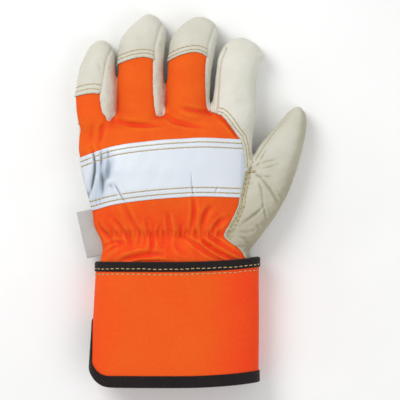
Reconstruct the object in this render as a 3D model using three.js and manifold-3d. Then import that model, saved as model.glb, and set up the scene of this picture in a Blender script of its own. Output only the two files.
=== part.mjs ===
// A left-hand fitter glove lying on its palm, in millimetres with +Z up. Its fingers point along +Y and its
// thumb lies to the right, at +X. The origin is on the floor, under the middle of the palm.
// A leather palm, thumb, index finger and three finger fronts close round a hi-vis fabric back, whose three
// finger backs end in leather tips. A reflective tape crosses the knuckles, elastic gathers the wrist, and a
// stiff split cuff with bound edges is sewn round the outside of the wrist.
import * as THREE from "three";
import { mergeVertices } from "three/addons/utils/BufferGeometryUtils.js";
import Module from "manifold-3d";

const wasm = await Module();
wasm.setup();

// Hand: from the cuff's top edge to the finger crotches, across the finger roots, and from palm to back.
const HAND_LENGTH = 108;
const HAND_WIDTH = 132;
const HAND_DEPTH = 40;
// The line of the crotches climbs towards the index finger, by this much for each millimetre of width.
const CROTCH_SLANT = 0.085;

// Fingers, each from its crotch line to its tip, and their depth from palm to back.
const LITTLE = { length: 61.5, width: 31, depth: 27 };
const RING = { length: 78.7, width: 35.5, depth: 28 };
const MIDDLE = { length: 75.4, width: 35.5, depth: 28 };
const INDEX = { length: 63.7, width: 32.6, depth: 29 };
const THUMB = { length: 104, width: 33.3, depth: 30 };

// Walls: lined leather, lined fabric, and the clearance between pieces that touch.
const LEATHER_WALL = 2;
const FABRIC_WALL = 1.7;
const SEAM_GAP = 0.3;

// Height of the side seam between palm and back, along the hand and at the longest finger's tip.
const SEAM_HEIGHT = 15;
const TIP_SEAM_HEIGHT = 9;

// Reflective tape.
const TAPE_WIDTH = 43;
const TAPE_THICKNESS = 0.8;

// The deepest fold of the back, and the deepest gather at the wrist.
const FOLD_DEPTH = 2.6;
const GATHER_DEPTH = 3;

// Cuff: a split tube, with the corners of the split rounded. Overhang is how far it stands out beyond the hand
// on the thumb's side, where its edges also climb by its rise.
const CUFF_LENGTH = 87;
const CUFF_TOP_WIDTH = 118;
const CUFF_BOTTOM_WIDTH = 124.5;
const CUFF_DEPTH = 40;
const CUFF_WALL = 2;
const CUFF_OVERHANG = 2;
const CUFF_RISE = 3.5;
const SPLIT_LENGTH = 56;
const SPLIT_WIDTH = 7;
const CORNER_RADIUS = 11;

// Binding tape folded over the cuff's edges.
const BINDING_THICKNESS = 1;
const TOP_BINDING_WIDTH = 6;
const EDGE_BINDING_WIDTH = 8;

// How far the wrist reaches down inside the cuff, and the clearance round it there.
const WRIST_LAP = 12;
const WRIST_CLEARANCE = 0.6;

// Label sewn into the side seam at the wrist.
const LABEL_LENGTH = 35;
const LABEL_WIDTH = 16;
const LABEL_THICKNESS = 1;
const LABEL_TILT = 13;

// Cross-sections are rounded boxes: the height of their widest line as a share of their depth, how square the
// back and the underside are, and how far the underside is pressed flat against the floor.
const WAIST = 0.42;
const BACK_SQUARENESS = 2.3;
const UNDERSIDE_SQUARENESS = 2.8;
const PRESS = 1.12;

// Facets round the back and the underside of each hollow form.
const HAND_FACETS = { back: 28, underside: 8, spread: 0.75 };
const FINGER_FACETS = { back: 10, underside: 6, spread: 0 };
const LINING_FACETS = { back: 6, underside: 4, spread: 0 };
const CUFF_FACETS = { back: 16, underside: 8, spread: 0.3 };

// Anything that cuts right through the glove reaches this far.
const BEYOND = 400;

// Sections of the hand, at shares of HAND_LENGTH from the cuff. Left and right are shares of HAND_WIDTH from
// the centreline, bottom and top are shares of HAND_DEPTH. Gather is a share of GATHER_DEPTH, and the elastic
// runs where it is 1.
const HAND_SECTIONS = [
  { at: 0.075, left: -0.35, right: 0.465, bottom: 0.1, top: 0.92, gather: 0.6 },
  { at: 0.178, left: -0.372, right: 0.465, bottom: 0.03, top: 0.84, gather: 1 },
  { at: 0.25, left: -0.39, right: 0.465, bottom: 0.01, top: 0.91, gather: 0.7 },
  { at: 0.36, left: -0.415, right: 0.465, bottom: 0, top: 0.97, gather: 0.25 },
  { at: 0.49, left: -0.443, right: 0.465, bottom: 0, top: 1, gather: 0 },
  { at: 0.64, left: -0.471, right: 0.478, bottom: 0, top: 0.99, gather: 0 },
  { at: 0.8, left: -0.494, right: 0.488, bottom: 0, top: 0.93, gather: 0 },
  { at: 0.93, left: -0.494, right: 0.493, bottom: 0.01, top: 0.8, gather: 0 },
  { at: 0.98, left: -0.486, right: 0.486, bottom: 0.07, top: 0.66, gather: 0 },
  { at: 1, left: -0.47, right: 0.47, bottom: 0.18, top: 0.48, gather: 0 },
];

// Sections of the fingers, at shares of the finger's length from its root. Left and right are shares of its
// width from its axis, and so is edge, the seam between the finger's back and its leather side.
const LITTLE_SECTIONS = [
  { at: -0.2, left: -0.3, right: 0.36, edge: 0.5 },
  { at: 0, left: -0.43, right: 0.44, edge: 0.29 },
  { at: 0.12, left: -0.49, right: 0.443, edge: 0.15 },
  { at: 0.32, left: -0.54, right: 0.44, edge: 0.055 },
  { at: 0.5, left: -0.52, right: 0.41, edge: 0.115 },
  { at: 0.67, left: -0.475, right: 0.365, edge: 0.14 },
  { at: 0.8, left: -0.38, right: 0.342, edge: 0.19 },
  { at: 0.9, left: -0.28, right: 0.31, edge: 0.26 },
  { at: 0.965, left: -0.165, right: 0.2, edge: 0.32 },
  { at: 1, left: -0.05, right: 0.07, edge: 0.35 },
];
const RING_SECTIONS = [
  { at: -0.15, left: -0.42, right: 0.42, edge: 0.5 },
  { at: 0, left: -0.46, right: 0.47, edge: 0.37 },
  { at: 0.12, left: -0.478, right: 0.482, edge: 0.29 },
  { at: 0.3, left: -0.51, right: 0.445, edge: 0.23 },
  { at: 0.5, left: -0.55, right: 0.39, edge: 0.19 },
  { at: 0.7, left: -0.575, right: 0.39, edge: 0.19 },
  { at: 0.78, left: -0.51, right: 0.395, edge: 0.22 },
  { at: 0.87, left: -0.35, right: 0.38, edge: 0.26 },
  { at: 0.94, left: -0.2, right: 0.27, edge: 0.31 },
  { at: 0.98, left: -0.1, right: 0.14, edge: 0.34 },
  { at: 1, left: -0.03, right: 0.04, edge: 0.36 },
];
const MIDDLE_SECTIONS = [
  { at: -0.15, left: -0.4, right: 0.4, edge: 0.5 },
  { at: 0, left: -0.44, right: 0.42, edge: 0.42 },
  { at: 0.12, left: -0.475, right: 0.41, edge: 0.36 },
  { at: 0.3, left: -0.525, right: 0.398, edge: 0.3 },
  { at: 0.5, left: -0.563, right: 0.378, edge: 0.24 },
  { at: 0.72, left: -0.577, right: 0.372, edge: 0.23 },
  { at: 0.8, left: -0.53, right: 0.385, edge: 0.267 },
  { at: 0.89, left: -0.385, right: 0.38, edge: 0.3 },
  { at: 0.95, left: -0.255, right: 0.32, edge: 0.345 },
  { at: 0.985, left: -0.14, right: 0.19, edge: 0.37 },
  { at: 1, left: -0.05, right: 0.07, edge: 0.38 },
];
const INDEX_SECTIONS = [
  { at: -0.35, left: -0.3, right: 0.34 },
  { at: 0, left: -0.49, right: 0.48 },
  { at: 0.14, left: -0.52, right: 0.475 },
  { at: 0.3, left: -0.54, right: 0.44 },
  { at: 0.5, left: -0.55, right: 0.425 },
  { at: 0.68, left: -0.515, right: 0.44 },
  { at: 0.75, left: -0.49, right: 0.475 },
  { at: 0.8, left: -0.455, right: 0.53 },
  { at: 0.86, left: -0.4, right: 0.485 },
  { at: 0.93, left: -0.3, right: 0.38 },
  { at: 0.975, left: -0.18, right: 0.2 },
  { at: 1, left: -0.06, right: 0.06 },
];
const THUMB_SECTIONS = [
  { at: -0.08, left: -0.4, right: 0.25 },
  { at: 0.02, left: -0.42, right: 0.355 },
  { at: 0.12, left: -0.44, right: 0.43 },
  { at: 0.25, left: -0.462, right: 0.515 },
  { at: 0.42, left: -0.482, right: 0.547 },
  { at: 0.6, left: -0.478, right: 0.51 },
  { at: 0.72, left: -0.375, right: 0.45 },
  { at: 0.83, left: -0.27, right: 0.4 },
  { at: 0.92, left: -0.178, right: 0.31 },
  { at: 0.97, left: -0.1, right: 0.21 },
  { at: 1, left: -0.02, right: 0.03 },
];

// How the fingers' undersides and backs run along them, as shares of the finger's depth: they curl a little,
// so that the middle is clear of the floor and the tip comes down to it.
const FINGER_PROFILE = [
  { at: -0.35, bottom: 0.08, top: 0.8 },
  { at: 0, bottom: 0.08, top: 1.06 },
  { at: 0.3, bottom: 0.1, top: 1.02 },
  { at: 0.6, bottom: 0.06, top: 0.94 },
  { at: 0.8, bottom: 0, top: 0.84 },
  { at: 0.9, bottom: 0, top: 0.74 },
  { at: 0.95, bottom: 0.02, top: 0.65 },
  { at: 0.98, bottom: 0.08, top: 0.54 },
  { at: 1, bottom: 0.18, top: 0.4 },
];

// Where each finger's root lies, as shares of HAND_WIDTH from the centreline and of HAND_LENGTH from the cuff,
// and how many degrees it leans to the right.
const INDEX_FINGER = { size: INDEX, rows: INDEX_SECTIONS, across: 0.381, along: 0.959, lean: 5.3 };
const THUMB_FINGER = { size: THUMB, rows: THUMB_SECTIONS, across: 0.432, along: 0.192, lean: 23.5 };

// The fingers with a leather tip, whose seam bows from left, by way of middle, to right, at shares of the
// finger's length.
const TIPPED_FINGERS = [
  {
    name: "little",
    size: LITTLE,
    rows: LITTLE_SECTIONS,
    across: -0.392,
    along: 0.959,
    lean: 3.4,
    seam: { left: 0.33, middle: 0.39, right: 0.364 },
  },
  {
    name: "ring",
    size: RING,
    rows: RING_SECTIONS,
    across: -0.146,
    along: 0.986,
    lean: 4.9,
    seam: { left: 0.46, middle: 0.55, right: 0.53 },
  },
  {
    name: "middle",
    size: MIDDLE,
    rows: MIDDLE_SECTIONS,
    across: 0.123,
    along: 1,
    lean: 7.3,
    seam: { left: 0.49, middle: 0.62, right: 0.585 },
  },
];

// The edge of the fabric back on the thumb's side, from the cuff to the crotch beside the index finger. At is
// a share of HAND_LENGTH, edge a share of HAND_WIDTH.
const PANEL_EDGE = [
  { at: -0.2, edge: 0.47 },
  { at: -0.014, edge: 0.465 },
  { at: 0.068, edge: 0.432 },
  { at: 0.11, edge: 0.398 },
  { at: 0.15, edge: 0.347 },
  { at: 0.18, edge: 0.322 },
  { at: 0.233, edge: 0.336 },
  { at: 0.315, edge: 0.375 },
  { at: 0.397, edge: 0.404 },
  { at: 0.507, edge: 0.418 },
  { at: 0.575, edge: 0.431 },
  { at: 0.64, edge: 0.437 },
  { at: 0.712, edge: 0.437 },
  { at: 0.78, edge: 0.431 },
  { at: 0.842, edge: 0.418 },
  { at: 0.93, edge: 0.37 },
  { at: 0.973, edge: 0.345 },
  { at: 1.014, edge: 0.314 },
  { at: 1.038, edge: 0.252 },
];

// The tack at the thumb crotch, where the index finger's wing of leather ends and the thumb's begins.
const TACK = { at: 0.64, across: 0.47 };
const THUMB_CROTCH = { at: 0.74, across: 0.497 };

// The centreline of the tape, as shares of HAND_WIDTH and HAND_LENGTH.
const TAPE_LINE = [
  { across: -0.56, at: 0.488 },
  { across: -0.41, at: 0.553 },
  { across: -0.3, at: 0.597 },
  { across: -0.1, at: 0.632 },
  { across: 0.12, at: 0.652 },
  { across: 0.26, at: 0.654 },
  { across: 0.52, at: 0.64 },
];

// The middle of the label, as shares of HAND_WIDTH and HAND_LENGTH.
const LABEL_SEAT = { across: -0.414, at: 0.205 };

// Main folds of the back. Each is a straight valley from one point to another, in shares of HAND_WIDTH and
// HAND_LENGTH, with its half width as a share of HAND_WIDTH and its depth as a share of FOLD_DEPTH.
const FOLDS = [
  { fromX: -0.43, fromY: 0.63, toX: -0.28, toY: 0.46, width: 0.04, depth: 0.8 },
  { fromX: -0.36, fromY: 0.16, toX: -0.14, toY: 0.1, width: 0.035, depth: 0.9 },
  { fromX: 0.08, fromY: 0.16, toX: 0.3, toY: 0.04, width: 0.035, depth: 0.9 },
  { fromX: -0.22, fromY: 0.99, toX: -0.1, toY: 0.93, width: 0.04, depth: 0.6 },
  { fromX: 0.02, fromY: 1, toX: 0.18, toY: 0.95, width: 0.04, depth: 0.6 },
  { fromX: -0.42, fromY: 0.9, toX: -0.3, toY: 0.95, width: 0.035, depth: 0.5 },
];

// Places and directions in the glove's frame.
const CUFF_TOP = -HAND_LENGTH / 2;
const across = (share) => share * HAND_WIDTH;
const along = (share) => CUFF_TOP + share * HAND_LENGTH;
const crotchLine = (x) => along(1) + CROTCH_SLANT * x;

// The cuff's side towards the thumb. The binding stands its reach out from the cuff's own surface, and the
// wrist lies its inset inside that surface.
const CUFF_RIGHT = HAND_WIDTH / 2 + CUFF_OVERHANG;
const BINDING_REACH = SEAM_GAP + BINDING_THICKNESS;
const WRIST_INSET = CUFF_WALL + BINDING_REACH + WRIST_CLEARANCE;

// A column's value between the rows of a table.
function rowAt(rows, at, column) {
  const next = rows.findIndex((row) => row.at >= at);
  if (next <= 0) return rows[next < 0 ? rows.length - 1 : 0][column];
  const [a, b] = [rows[next - 1], rows[next]];
  return THREE.MathUtils.lerp(a[column], b[column], (at - a.at) / (b.at - a.at));
}

// Angles round a section, clockwise from the top. Spread evens out the facets of a wide, flat back.
function ringAngles({ back, underside, spread }) {
  const quarter = Math.PI / 2;
  const backAngle = (share) => (1 - spread) * quarter * share + spread * Math.asin(share);
  const half = back / 2;
  const rightBack = Array.from({ length: half }, (_, i) => backAngle(i / half));
  const below = Array.from({ length: underside }, (_, i) => quarter + (i * Math.PI) / underside);
  const leftBack = Array.from({ length: half }, (_, i) => 4 * quarter - backAngle(1 - i / half));
  return [...rightBack, ...below, ...leftBack];
}

// One point of a section: a rounded box, pressed flat underneath.
function sectionPoint({ left, right, bottom, top }, angle) {
  const middle = (left + right) / 2;
  const half = (right - left) / 2;
  const waist = bottom + WAIST * (top - bottom);
  const [side, up] = [Math.sin(angle), Math.cos(angle)];
  const squareness = up > 0 ? BACK_SQUARENESS : UNDERSIDE_SQUARENESS;
  const rounded = (value) => Math.sign(value) * Math.abs(value) ** (2 / squareness);
  const x = middle + half * rounded(side);
  const z = up > 0 ? waist + (top - waist) * rounded(up) : waist + (waist - bottom) * PRESS * rounded(up);
  return new THREE.Vector3(x, 0, Math.max(z, bottom));
}

// A section made smaller all round, or larger where the inset is negative.
function insetSection({ left, right, bottom, top }, inset) {
  const [middle, level] = [(left + right) / 2, (bottom + top) / 2];
  const half = Math.max((right - left) / 2 - inset, inset / 4);
  const rise = Math.max((top - bottom) / 2 - inset, inset / 4);
  return { left: middle - half, right: middle + half, bottom: level - rise, top: level + rise };
}

function solidOf(geometry) {
  geometry.deleteAttribute("normal");
  geometry.deleteAttribute("uv");
  const merged = mergeVertices(geometry, 1e-4);
  const vertProperties = merged.attributes.position.array;
  const triVerts = new Uint32Array(merged.index.array);
  return new wasm.Manifold(new wasm.Mesh({ numProp: 3, vertProperties, triVerts }));
}

// A closed cylinder with its rings moved onto a list of rings of points, each with its centre.
function loft(rings) {
  const [sides, steps] = [rings[0].points.length, rings.length - 1];
  const geometry = new THREE.CylinderGeometry(1, 1, 1, sides, steps);
  const place = geometry.attributes.position;
  for (let i = 0; i < place.count; i++) {
    const [x, y, z] = [place.getX(i), place.getY(i), place.getZ(i)];
    const ring = rings[Math.round((y + 0.5) * steps)];
    const turn = Math.atan2(x, z) / (2 * Math.PI);
    const onRing = ring.points[(Math.round(turn * sides) + sides) % sides];
    const point = Math.hypot(x, z) < 0.5 ? ring.centre : onRing;
    place.setXYZ(i, point.x, point.y, point.z);
  }
  return solidOf(geometry);
}

function ringOf(points) {
  const centre = new THREE.Vector3();
  points.forEach((point) => centre.addScaledVector(point, 1 / points.length));
  return { points, centre };
}

// Depth of the back's folds at a point.
function foldDepth(x, y) {
  const point = new THREE.Vector3(x, y, 0);
  return FOLDS.reduce((depth, fold) => {
    const from = new THREE.Vector3(across(fold.fromX), along(fold.fromY), 0);
    const to = new THREE.Vector3(across(fold.toX), along(fold.toY), 0);
    const nearest = new THREE.Line3(from, to).closestPointToPoint(point, true, new THREE.Vector3());
    const distance = nearest.distanceTo(point) / across(fold.width);
    return depth + fold.depth * FOLD_DEPTH * Math.exp(-distance * distance);
  }, 0);
}

// Gathers are valleys along every second facet edge of the back, no two quite as deep.
function gatherDepth(facet) {
  return facet % 2 === 0 ? 0 : GATHER_DEPTH * (0.75 + 0.25 * Math.sin(2 * facet));
}

// The wrist's own sections inside the cuff, which follow the cuff's top.
function wristSection(y, gather) {
  return { y, gather, ...insetSection(cuffSection(0), WRIST_INSET) };
}

// The hand without its fingers: smaller by the inset, and with its far end drawn back by as much.
function handForm(inset) {
  const angles = ringAngles(HAND_FACETS);
  const table = HAND_SECTIONS.map((row) => ({
    y: along(row.at) - (row.at > 0.9 ? inset : 0),
    gather: row.gather,
    left: across(row.left),
    right: across(row.right),
    bottom: row.bottom * HAND_DEPTH,
    top: row.top * HAND_DEPTH,
  }));
  const wristTop = CUFF_TOP + BINDING_REACH + WRIST_CLEARANCE;
  const wrist = [wristSection(CUFF_TOP - WRIST_LAP, 0), wristSection(wristTop, table[0].gather / 2)];
  const rings = [...wrist, ...table].map(({ y, gather, ...section }) => {
    const share = THREE.MathUtils.clamp((y - CUFF_TOP) / HAND_LENGTH, 0, 1);
    const size = insetSection(section, inset);
    const points = angles.map((angle, facet) => {
      const point = sectionPoint(size, angle);
      point.y = y + CROTCH_SLANT * point.x * share ** 3;
      const onBack = Math.cos(angle) > 0 ? 1 - Math.sin(angle) ** 4 : 0;
      point.z -= onBack * (foldDepth(point.x, point.y) + gather * gatherDepth(facet));
      return point;
    });
    return ringOf(points);
  });
  return loft(rings);
}

// A finger's own frame: Y runs from its root to its tip, and X to its right.
function fingerFrame({ across: x, along: y, lean }) {
  const frame = new THREE.Matrix4().makeRotationZ(-THREE.MathUtils.degToRad(lean));
  return frame.setPosition(across(x), along(y), 0);
}

function fingerForm(finger, inset, facets) {
  const { length, width, depth } = finger.size;
  const frame = fingerFrame(finger);
  const angles = ringAngles(facets);
  const rings = finger.rows.map((row) => {
    const section = {
      left: row.left * width,
      right: row.right * width,
      bottom: rowAt(FINGER_PROFILE, row.at, "bottom") * depth,
      top: rowAt(FINGER_PROFILE, row.at, "top") * depth,
    };
    const size = insetSection(section, inset);
    const y = row.at * (length - inset);
    return ringOf(angles.map((angle) => sectionPoint(size, angle).setY(y).applyMatrix4(frame)));
  });
  return loft(rings);
}

// The whole glove without its cuff, as one solid.
const ALL_FINGERS = [...TIPPED_FINGERS, INDEX_FINGER, THUMB_FINGER];
function gloveForm(inset, facets = FINGER_FACETS) {
  const fingers = ALL_FINGERS.map((finger) => fingerForm(finger, inset, facets));
  return fingers.reduce((form, finger) => form.add(finger), handForm(inset));
}

const xy = (x, y) => new THREE.Vector2(x, y);
const flat = (point) => xy(point.x, point.y);

// An outline in the XY plane, grown outwards by moving each corner along its mitre.
function grownOutline(points, grow) {
  const turnsLeft = THREE.ShapeUtils.area(points) > 0 ? 1 : -1;
  return points.map((point, i) => {
    const before = points.at(i - 1);
    const after = points[(i + 1) % points.length];
    const [into, out] = [point.clone().sub(before).normalize(), after.clone().sub(point).normalize()];
    const normal = xy(into.y + out.y, -into.x - out.x).normalize();
    const mitre = Math.max(normal.x * into.y - normal.y * into.x, 0.5);
    return point.clone().addScaledVector(normal, (turnsLeft * grow) / mitre);
  });
}

// An upright prism over an outline, through the whole glove.
function prism(outline, grow = 0) {
  const shape = new THREE.Shape(grownOutline(outline, grow));
  const geometry = new THREE.ExtrudeGeometry(shape, { depth: 2 * BEYOND, bevelEnabled: false });
  return solidOf(geometry.translate(0, 0, -BEYOND));
}

// A prism over an outline of Y and Z, along X from one place to another.
function crossPrism(outline, from, to) {
  const shape = new THREE.Shape(outline);
  const geometry = new THREE.ExtrudeGeometry(shape, { depth: to - from, bevelEnabled: false });
  const [xAxis, yAxis, zAxis] = [0, 1, 2].map((i) => new THREE.Vector3().setComponent(i, 1));
  const upright = new THREE.Matrix4().makeBasis(yAxis, zAxis, xAxis);
  return solidOf(geometry.applyMatrix4(upright).translate(from, 0, 0));
}

// Everything above the side seam, which comes down along the fingers.
function aboveSeam(grow) {
  const tip = along(1) + RING.length;
  const seam = [
    xy(-BEYOND, SEAM_HEIGHT - grow),
    xy(along(1), SEAM_HEIGHT - grow),
    xy(tip, TIP_SEAM_HEIGHT - grow),
    xy(BEYOND, TIP_SEAM_HEIGHT - grow),
  ];
  return crossPrism([...seam, xy(BEYOND, BEYOND), xy(-BEYOND, BEYOND)], -BEYOND, BEYOND);
}

// Everything on the fingers' side of the crotch line.
function beyondCrotches(grow) {
  const line = (x) => xy(x, crotchLine(x) - grow);
  return prism([line(-BEYOND), line(BEYOND), xy(BEYOND, BEYOND), xy(-BEYOND, BEYOND)]);
}

const panelEdgePoint = (row) => xy(across(row.edge), along(row.at));

// The fabric back's outline on the hand, which overshoots the hand's left side.
function backOutline() {
  const farLeft = -HAND_WIDTH;
  const edge = PANEL_EDGE.map(panelEdgePoint);
  const corner = edge.at(-1);
  return [xy(farLeft, edge[0].y), ...edge, xy(farLeft, corner.y + CROTCH_SLANT * (farLeft - corner.x))];
}

// An outline round a fingertip reaches this share of the finger's length, and one along its free side lies
// this far outside it, which is less than the gap to the next finger.
const TIP_OVERSHOOT = 1.1;
const FINGER_MARGIN = 0.7;
const SEAM_STEPS = 6;

// The bowed seam of a finger's leather tip, from left to right, in the glove's frame.
function tipSeam(finger) {
  const { length, width } = finger.size;
  const { left, middle, right } = finger.seam;
  const edge = rowAt(finger.rows, right, "edge");
  const bow = new THREE.QuadraticBezierCurve3(
    new THREE.Vector3(rowAt(finger.rows, left, "left") * width - FINGER_MARGIN, left * length, 0),
    new THREE.Vector3(0, (2 * middle - (left + right) / 2) * length, 0),
    new THREE.Vector3(edge * width, right * length, 0),
  );
  const frame = fingerFrame(finger);
  return bow.getPoints(SEAM_STEPS).map((point) => point.applyMatrix4(frame));
}

// Points along one side of a finger, between two shares of its length, so far outside a column of its table.
function fingerSide(finger, column, outwards, from, to) {
  const { length, width } = finger.size;
  const frame = fingerFrame(finger);
  const shares = [from, ...finger.rows.map((row) => row.at).filter((at) => at > from && at < to), to];
  const points = shares.map(
    (at) => new THREE.Vector3(rowAt(finger.rows, at, column) * width + outwards, at * length, 0),
  );
  return points.map((point) => flat(point.applyMatrix4(frame)));
}

const fingerSeamSide = (finger, from, to) => fingerSide(finger, "edge", 0, from, to);
const fingerFreeSide = (finger, from, to) => fingerSide(finger, "left", -FINGER_MARGIN, from, to).reverse();

function fingerBackOutline(finger) {
  const root = finger.rows[0].at;
  const { left, right } = finger.seam;
  const seam = tipSeam(finger).map(flat).reverse();
  return [...fingerSeamSide(finger, root, right), ...seam.slice(1, -1), ...fingerFreeSide(finger, root, left)];
}

function fingerTipOutline(finger) {
  const { left, right } = finger.seam;
  const seam = tipSeam(finger).map(flat);
  const beyondTip = fingerSeamSide(finger, right, TIP_OVERSHOOT).slice(1);
  return [...seam.slice(1), ...beyondTip, ...fingerFreeSide(finger, left, TIP_OVERSHOOT)];
}

// The leather right of the fabric back is the index finger's wing above the tack and the thumb below it.
const tack = () => xy(across(TACK.across), along(TACK.at));
const thumbCrotch = () => xy(across(THUMB_CROTCH.across), along(THUMB_CROTCH.at));

function wingOutline() {
  const edge = PANEL_EDGE.filter((row) => row.at >= TACK.at).map(panelEdgePoint);
  const top = along(1.1);
  return [tack(), thumbCrotch(), xy(across(0.6), top), xy(edge.at(-1).x, top), ...edge.reverse()];
}

function thumbOutline() {
  const edge = PANEL_EDGE.filter((row) => row.at <= TACK.at).map(panelEdgePoint);
  const [farRight, top] = [HAND_WIDTH, along(1.2)];
  const inner = xy(thumbCrotch().x + THUMB.width / 2, top);
  return [xy(farRight, edge[0].y), xy(farRight, top), inner, thumbCrotch(), tack(), ...edge.reverse()];
}

// A band of the tape's width along its centreline.
function tapeOutline() {
  const line = new THREE.SplineCurve(TAPE_LINE.map((row) => xy(across(row.across), along(row.at))));
  const points = line.getPoints(2 * TAPE_LINE.length);
  const shifted = (offset) => points.map((point) => xy(point.x, point.y + offset));
  return [...shifted(-TAPE_WIDTH / 2), ...shifted(TAPE_WIDTH / 2).reverse()];
}

// Cuff sections in the cuff's own frame, where Y is 0 at its top edge and the floor is at Z 0.
function cuffSection(y) {
  const width = THREE.MathUtils.lerp(CUFF_TOP_WIDTH, CUFF_BOTTOM_WIDTH, -y / CUFF_LENGTH);
  const [bottom, top] = [BINDING_REACH, BINDING_REACH + CUFF_DEPTH];
  return { left: CUFF_RIGHT - width, right: CUFF_RIGHT, bottom, top };
}

function cuffForm(inset, from, to) {
  const angles = ringAngles(CUFF_FACETS);
  const rings = [from, to].map((y) => {
    const section = insetSection(cuffSection(y), inset);
    return ringOf(angles.map((angle) => sectionPoint(section, angle).setY(y)));
  });
  return loft(rings);
}

// The cuff's outline from above, with the corner beside the split rounded. Side and end draw it in.
function cuffOutline(grow, { side = 0, end = 0 } = {}) {
  const left = CUFF_RIGHT - CUFF_BOTTOM_WIDTH - grow + side;
  const bottom = -CUFF_LENGTH - grow + end;
  const radius = CORNER_RADIUS + grow - end / 2;
  const corner = new THREE.Path().absarc(left + radius, bottom + radius, radius, Math.PI, 1.5 * Math.PI);
  return [...corner.getPoints(5), xy(BEYOND, bottom), xy(BEYOND, BEYOND), xy(left, BEYOND)];
}

// The split down the little finger's side, as an outline of Y and Z with a round end.
function splitOutline(grow) {
  const radius = SPLIT_WIDTH / 2 + grow;
  const level = BINDING_REACH + WAIST * CUFF_DEPTH;
  const centre = SPLIT_LENGTH - CUFF_LENGTH - SPLIT_WIDTH / 2;
  const end = new THREE.Path().absarc(centre, level, radius, -Math.PI / 2, Math.PI / 2);
  return [xy(-BEYOND, level - radius), ...end.getPoints(5), xy(-BEYOND, level + radius)];
}

const splitCutter = (grow) => crossPrism(splitOutline(grow), -BEYOND, CUFF_RIGHT - CUFF_BOTTOM_WIDTH / 2);

// The cuff's wall, thicker all round and longer at its ends by what it grows.
function cuffWall(grow) {
  const [from, to] = [-CUFF_LENGTH - grow, grow];
  const hollow = cuffForm(CUFF_WALL + grow, from - CUFF_WALL, to + CUFF_WALL);
  const tube = cuffForm(-grow, from, to).subtract(hollow);
  return tube.intersect(prism(cuffOutline(grow))).subtract(splitCutter(-grow));
}

// A skin over the cuff's wall, which binds whatever part of it lies in the given region.
function bindingOver(region) {
  return cuffWall(BINDING_REACH).subtract(cuffWall(SEAM_GAP)).intersect(region);
}

const cuffBand = (from, to) => prism([xy(-BEYOND, from), xy(BEYOND, from), xy(BEYOND, to), xy(-BEYOND, to)]);

// The binding of the bottom edge runs round the corners and up both sides of the split.
function edgeBinding() {
  const end = EDGE_BINDING_WIDTH + BINDING_REACH;
  const inner = cuffOutline(BINDING_REACH, { side: BINDING_THICKNESS, end });
  const bottomEdge = prism(cuffOutline(BINDING_REACH)).subtract(prism(inner));
  const belowTopBinding = cuffBand(-BEYOND, -TOP_BINDING_WIDTH - EDGE_BINDING_WIDTH);
  return bindingOver(bottomEdge.add(splitCutter(EDGE_BINDING_WIDTH / 2)).intersect(belowTopBinding));
}

// The cuff's edges climb towards the thumb's side.
function risen(geometry) {
  const place = geometry.attributes.position;
  const middle = CUFF_RIGHT - CUFF_TOP_WIDTH / 2;
  for (let i = 0; i < place.count; i++) {
    const share = Math.max((place.getX(i) - middle) / (CUFF_RIGHT - middle), 0);
    place.setY(i, place.getY(i) + CUFF_RISE * share * share);
  }
  return geometry;
}

// A cut can leave specks beside a piece, so a piece is its largest solid.
function mainBody(solid) {
  return solid.decompose().reduce((best, body) => (body.volume() > best.volume() ? body : best));
}

function geometryOf(solid) {
  const { vertProperties, triVerts } = mainBody(solid).getMesh();
  const geometry = new THREE.BufferGeometry();
  geometry.setAttribute("position", new THREE.BufferAttribute(vertProperties, 3));
  geometry.setIndex(new THREE.BufferAttribute(triVerts, 1));
  return geometry;
}

function piece(name, geometry, material) {
  const mesh = new THREE.Mesh(geometry, material);
  mesh.name = name;
  geometry.computeVertexNormals();
  return mesh;
}

const grainLeather = new THREE.MeshStandardMaterial({ color: 0xdcdacb, roughness: 0.6, metalness: 0 });
const orangeCotton = new THREE.MeshStandardMaterial({ color: 0xf26522, roughness: 0.85, metalness: 0 });
const orangeCanvas = new THREE.MeshStandardMaterial({ color: 0xf16225, roughness: 0.8, metalness: 0 });
const silverTape = new THREE.MeshStandardMaterial({ color: 0xe2e8ef, roughness: 0.4, metalness: 0.2 });
const blackBinding = new THREE.MeshStandardMaterial({ color: 0x2a2223, roughness: 0.9, metalness: 0 });
const greySatin = new THREE.MeshStandardMaterial({ color: 0xb9b8b4, roughness: 0.5, metalness: 0 });

// Shells, and the regions that divide them. Neighbours each keep half the seam's gap from the line between.
const HALF_GAP = SEAM_GAP / 2;
const outside = gloveForm(0);
const leatherInside = gloveForm(LEATHER_WALL, LINING_FACETS);
const leatherShell = outside.subtract(leatherInside);
const fabricShell = outside.subtract(gloveForm(FABRIC_WALL, LINING_FACETS));

function backRegion(grow) {
  const outlines = [backOutline(), ...TIPPED_FINGERS.map(fingerBackOutline)];
  const prisms = outlines.map((outline) => prism(outline, grow));
  return prisms.reduce((region, next) => region.add(next)).intersect(aboveSeam(grow));
}

function tipRegion(finger, grow) {
  return prism(fingerTipOutline(finger), grow).intersect(aboveSeam(grow));
}

const besideBack = backRegion(HALF_GAP);

// The front of a finger keeps clear of the next finger towards the thumb.
function fingerFront(finger) {
  const next = ALL_FINGERS[ALL_FINGERS.indexOf(finger) + 1];
  return fingerForm(finger, 0, FINGER_FACETS)
    .intersect(beyondCrotches(-HALF_GAP))
    .subtract(leatherInside)
    .subtract(besideBack)
    .subtract(tipRegion(finger, HALF_GAP))
    .subtract(fingerForm(next, -SEAM_GAP, FINGER_FACETS));
}

function fingerTip(finger) {
  return fingerForm(finger, 0, FINGER_FACETS)
    .subtract(leatherInside)
    .intersect(tipRegion(finger, -HALF_GAP));
}

function wingRegion(grow) {
  return prism(wingOutline(), grow).subtract(beyondCrotches(0));
}

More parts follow.
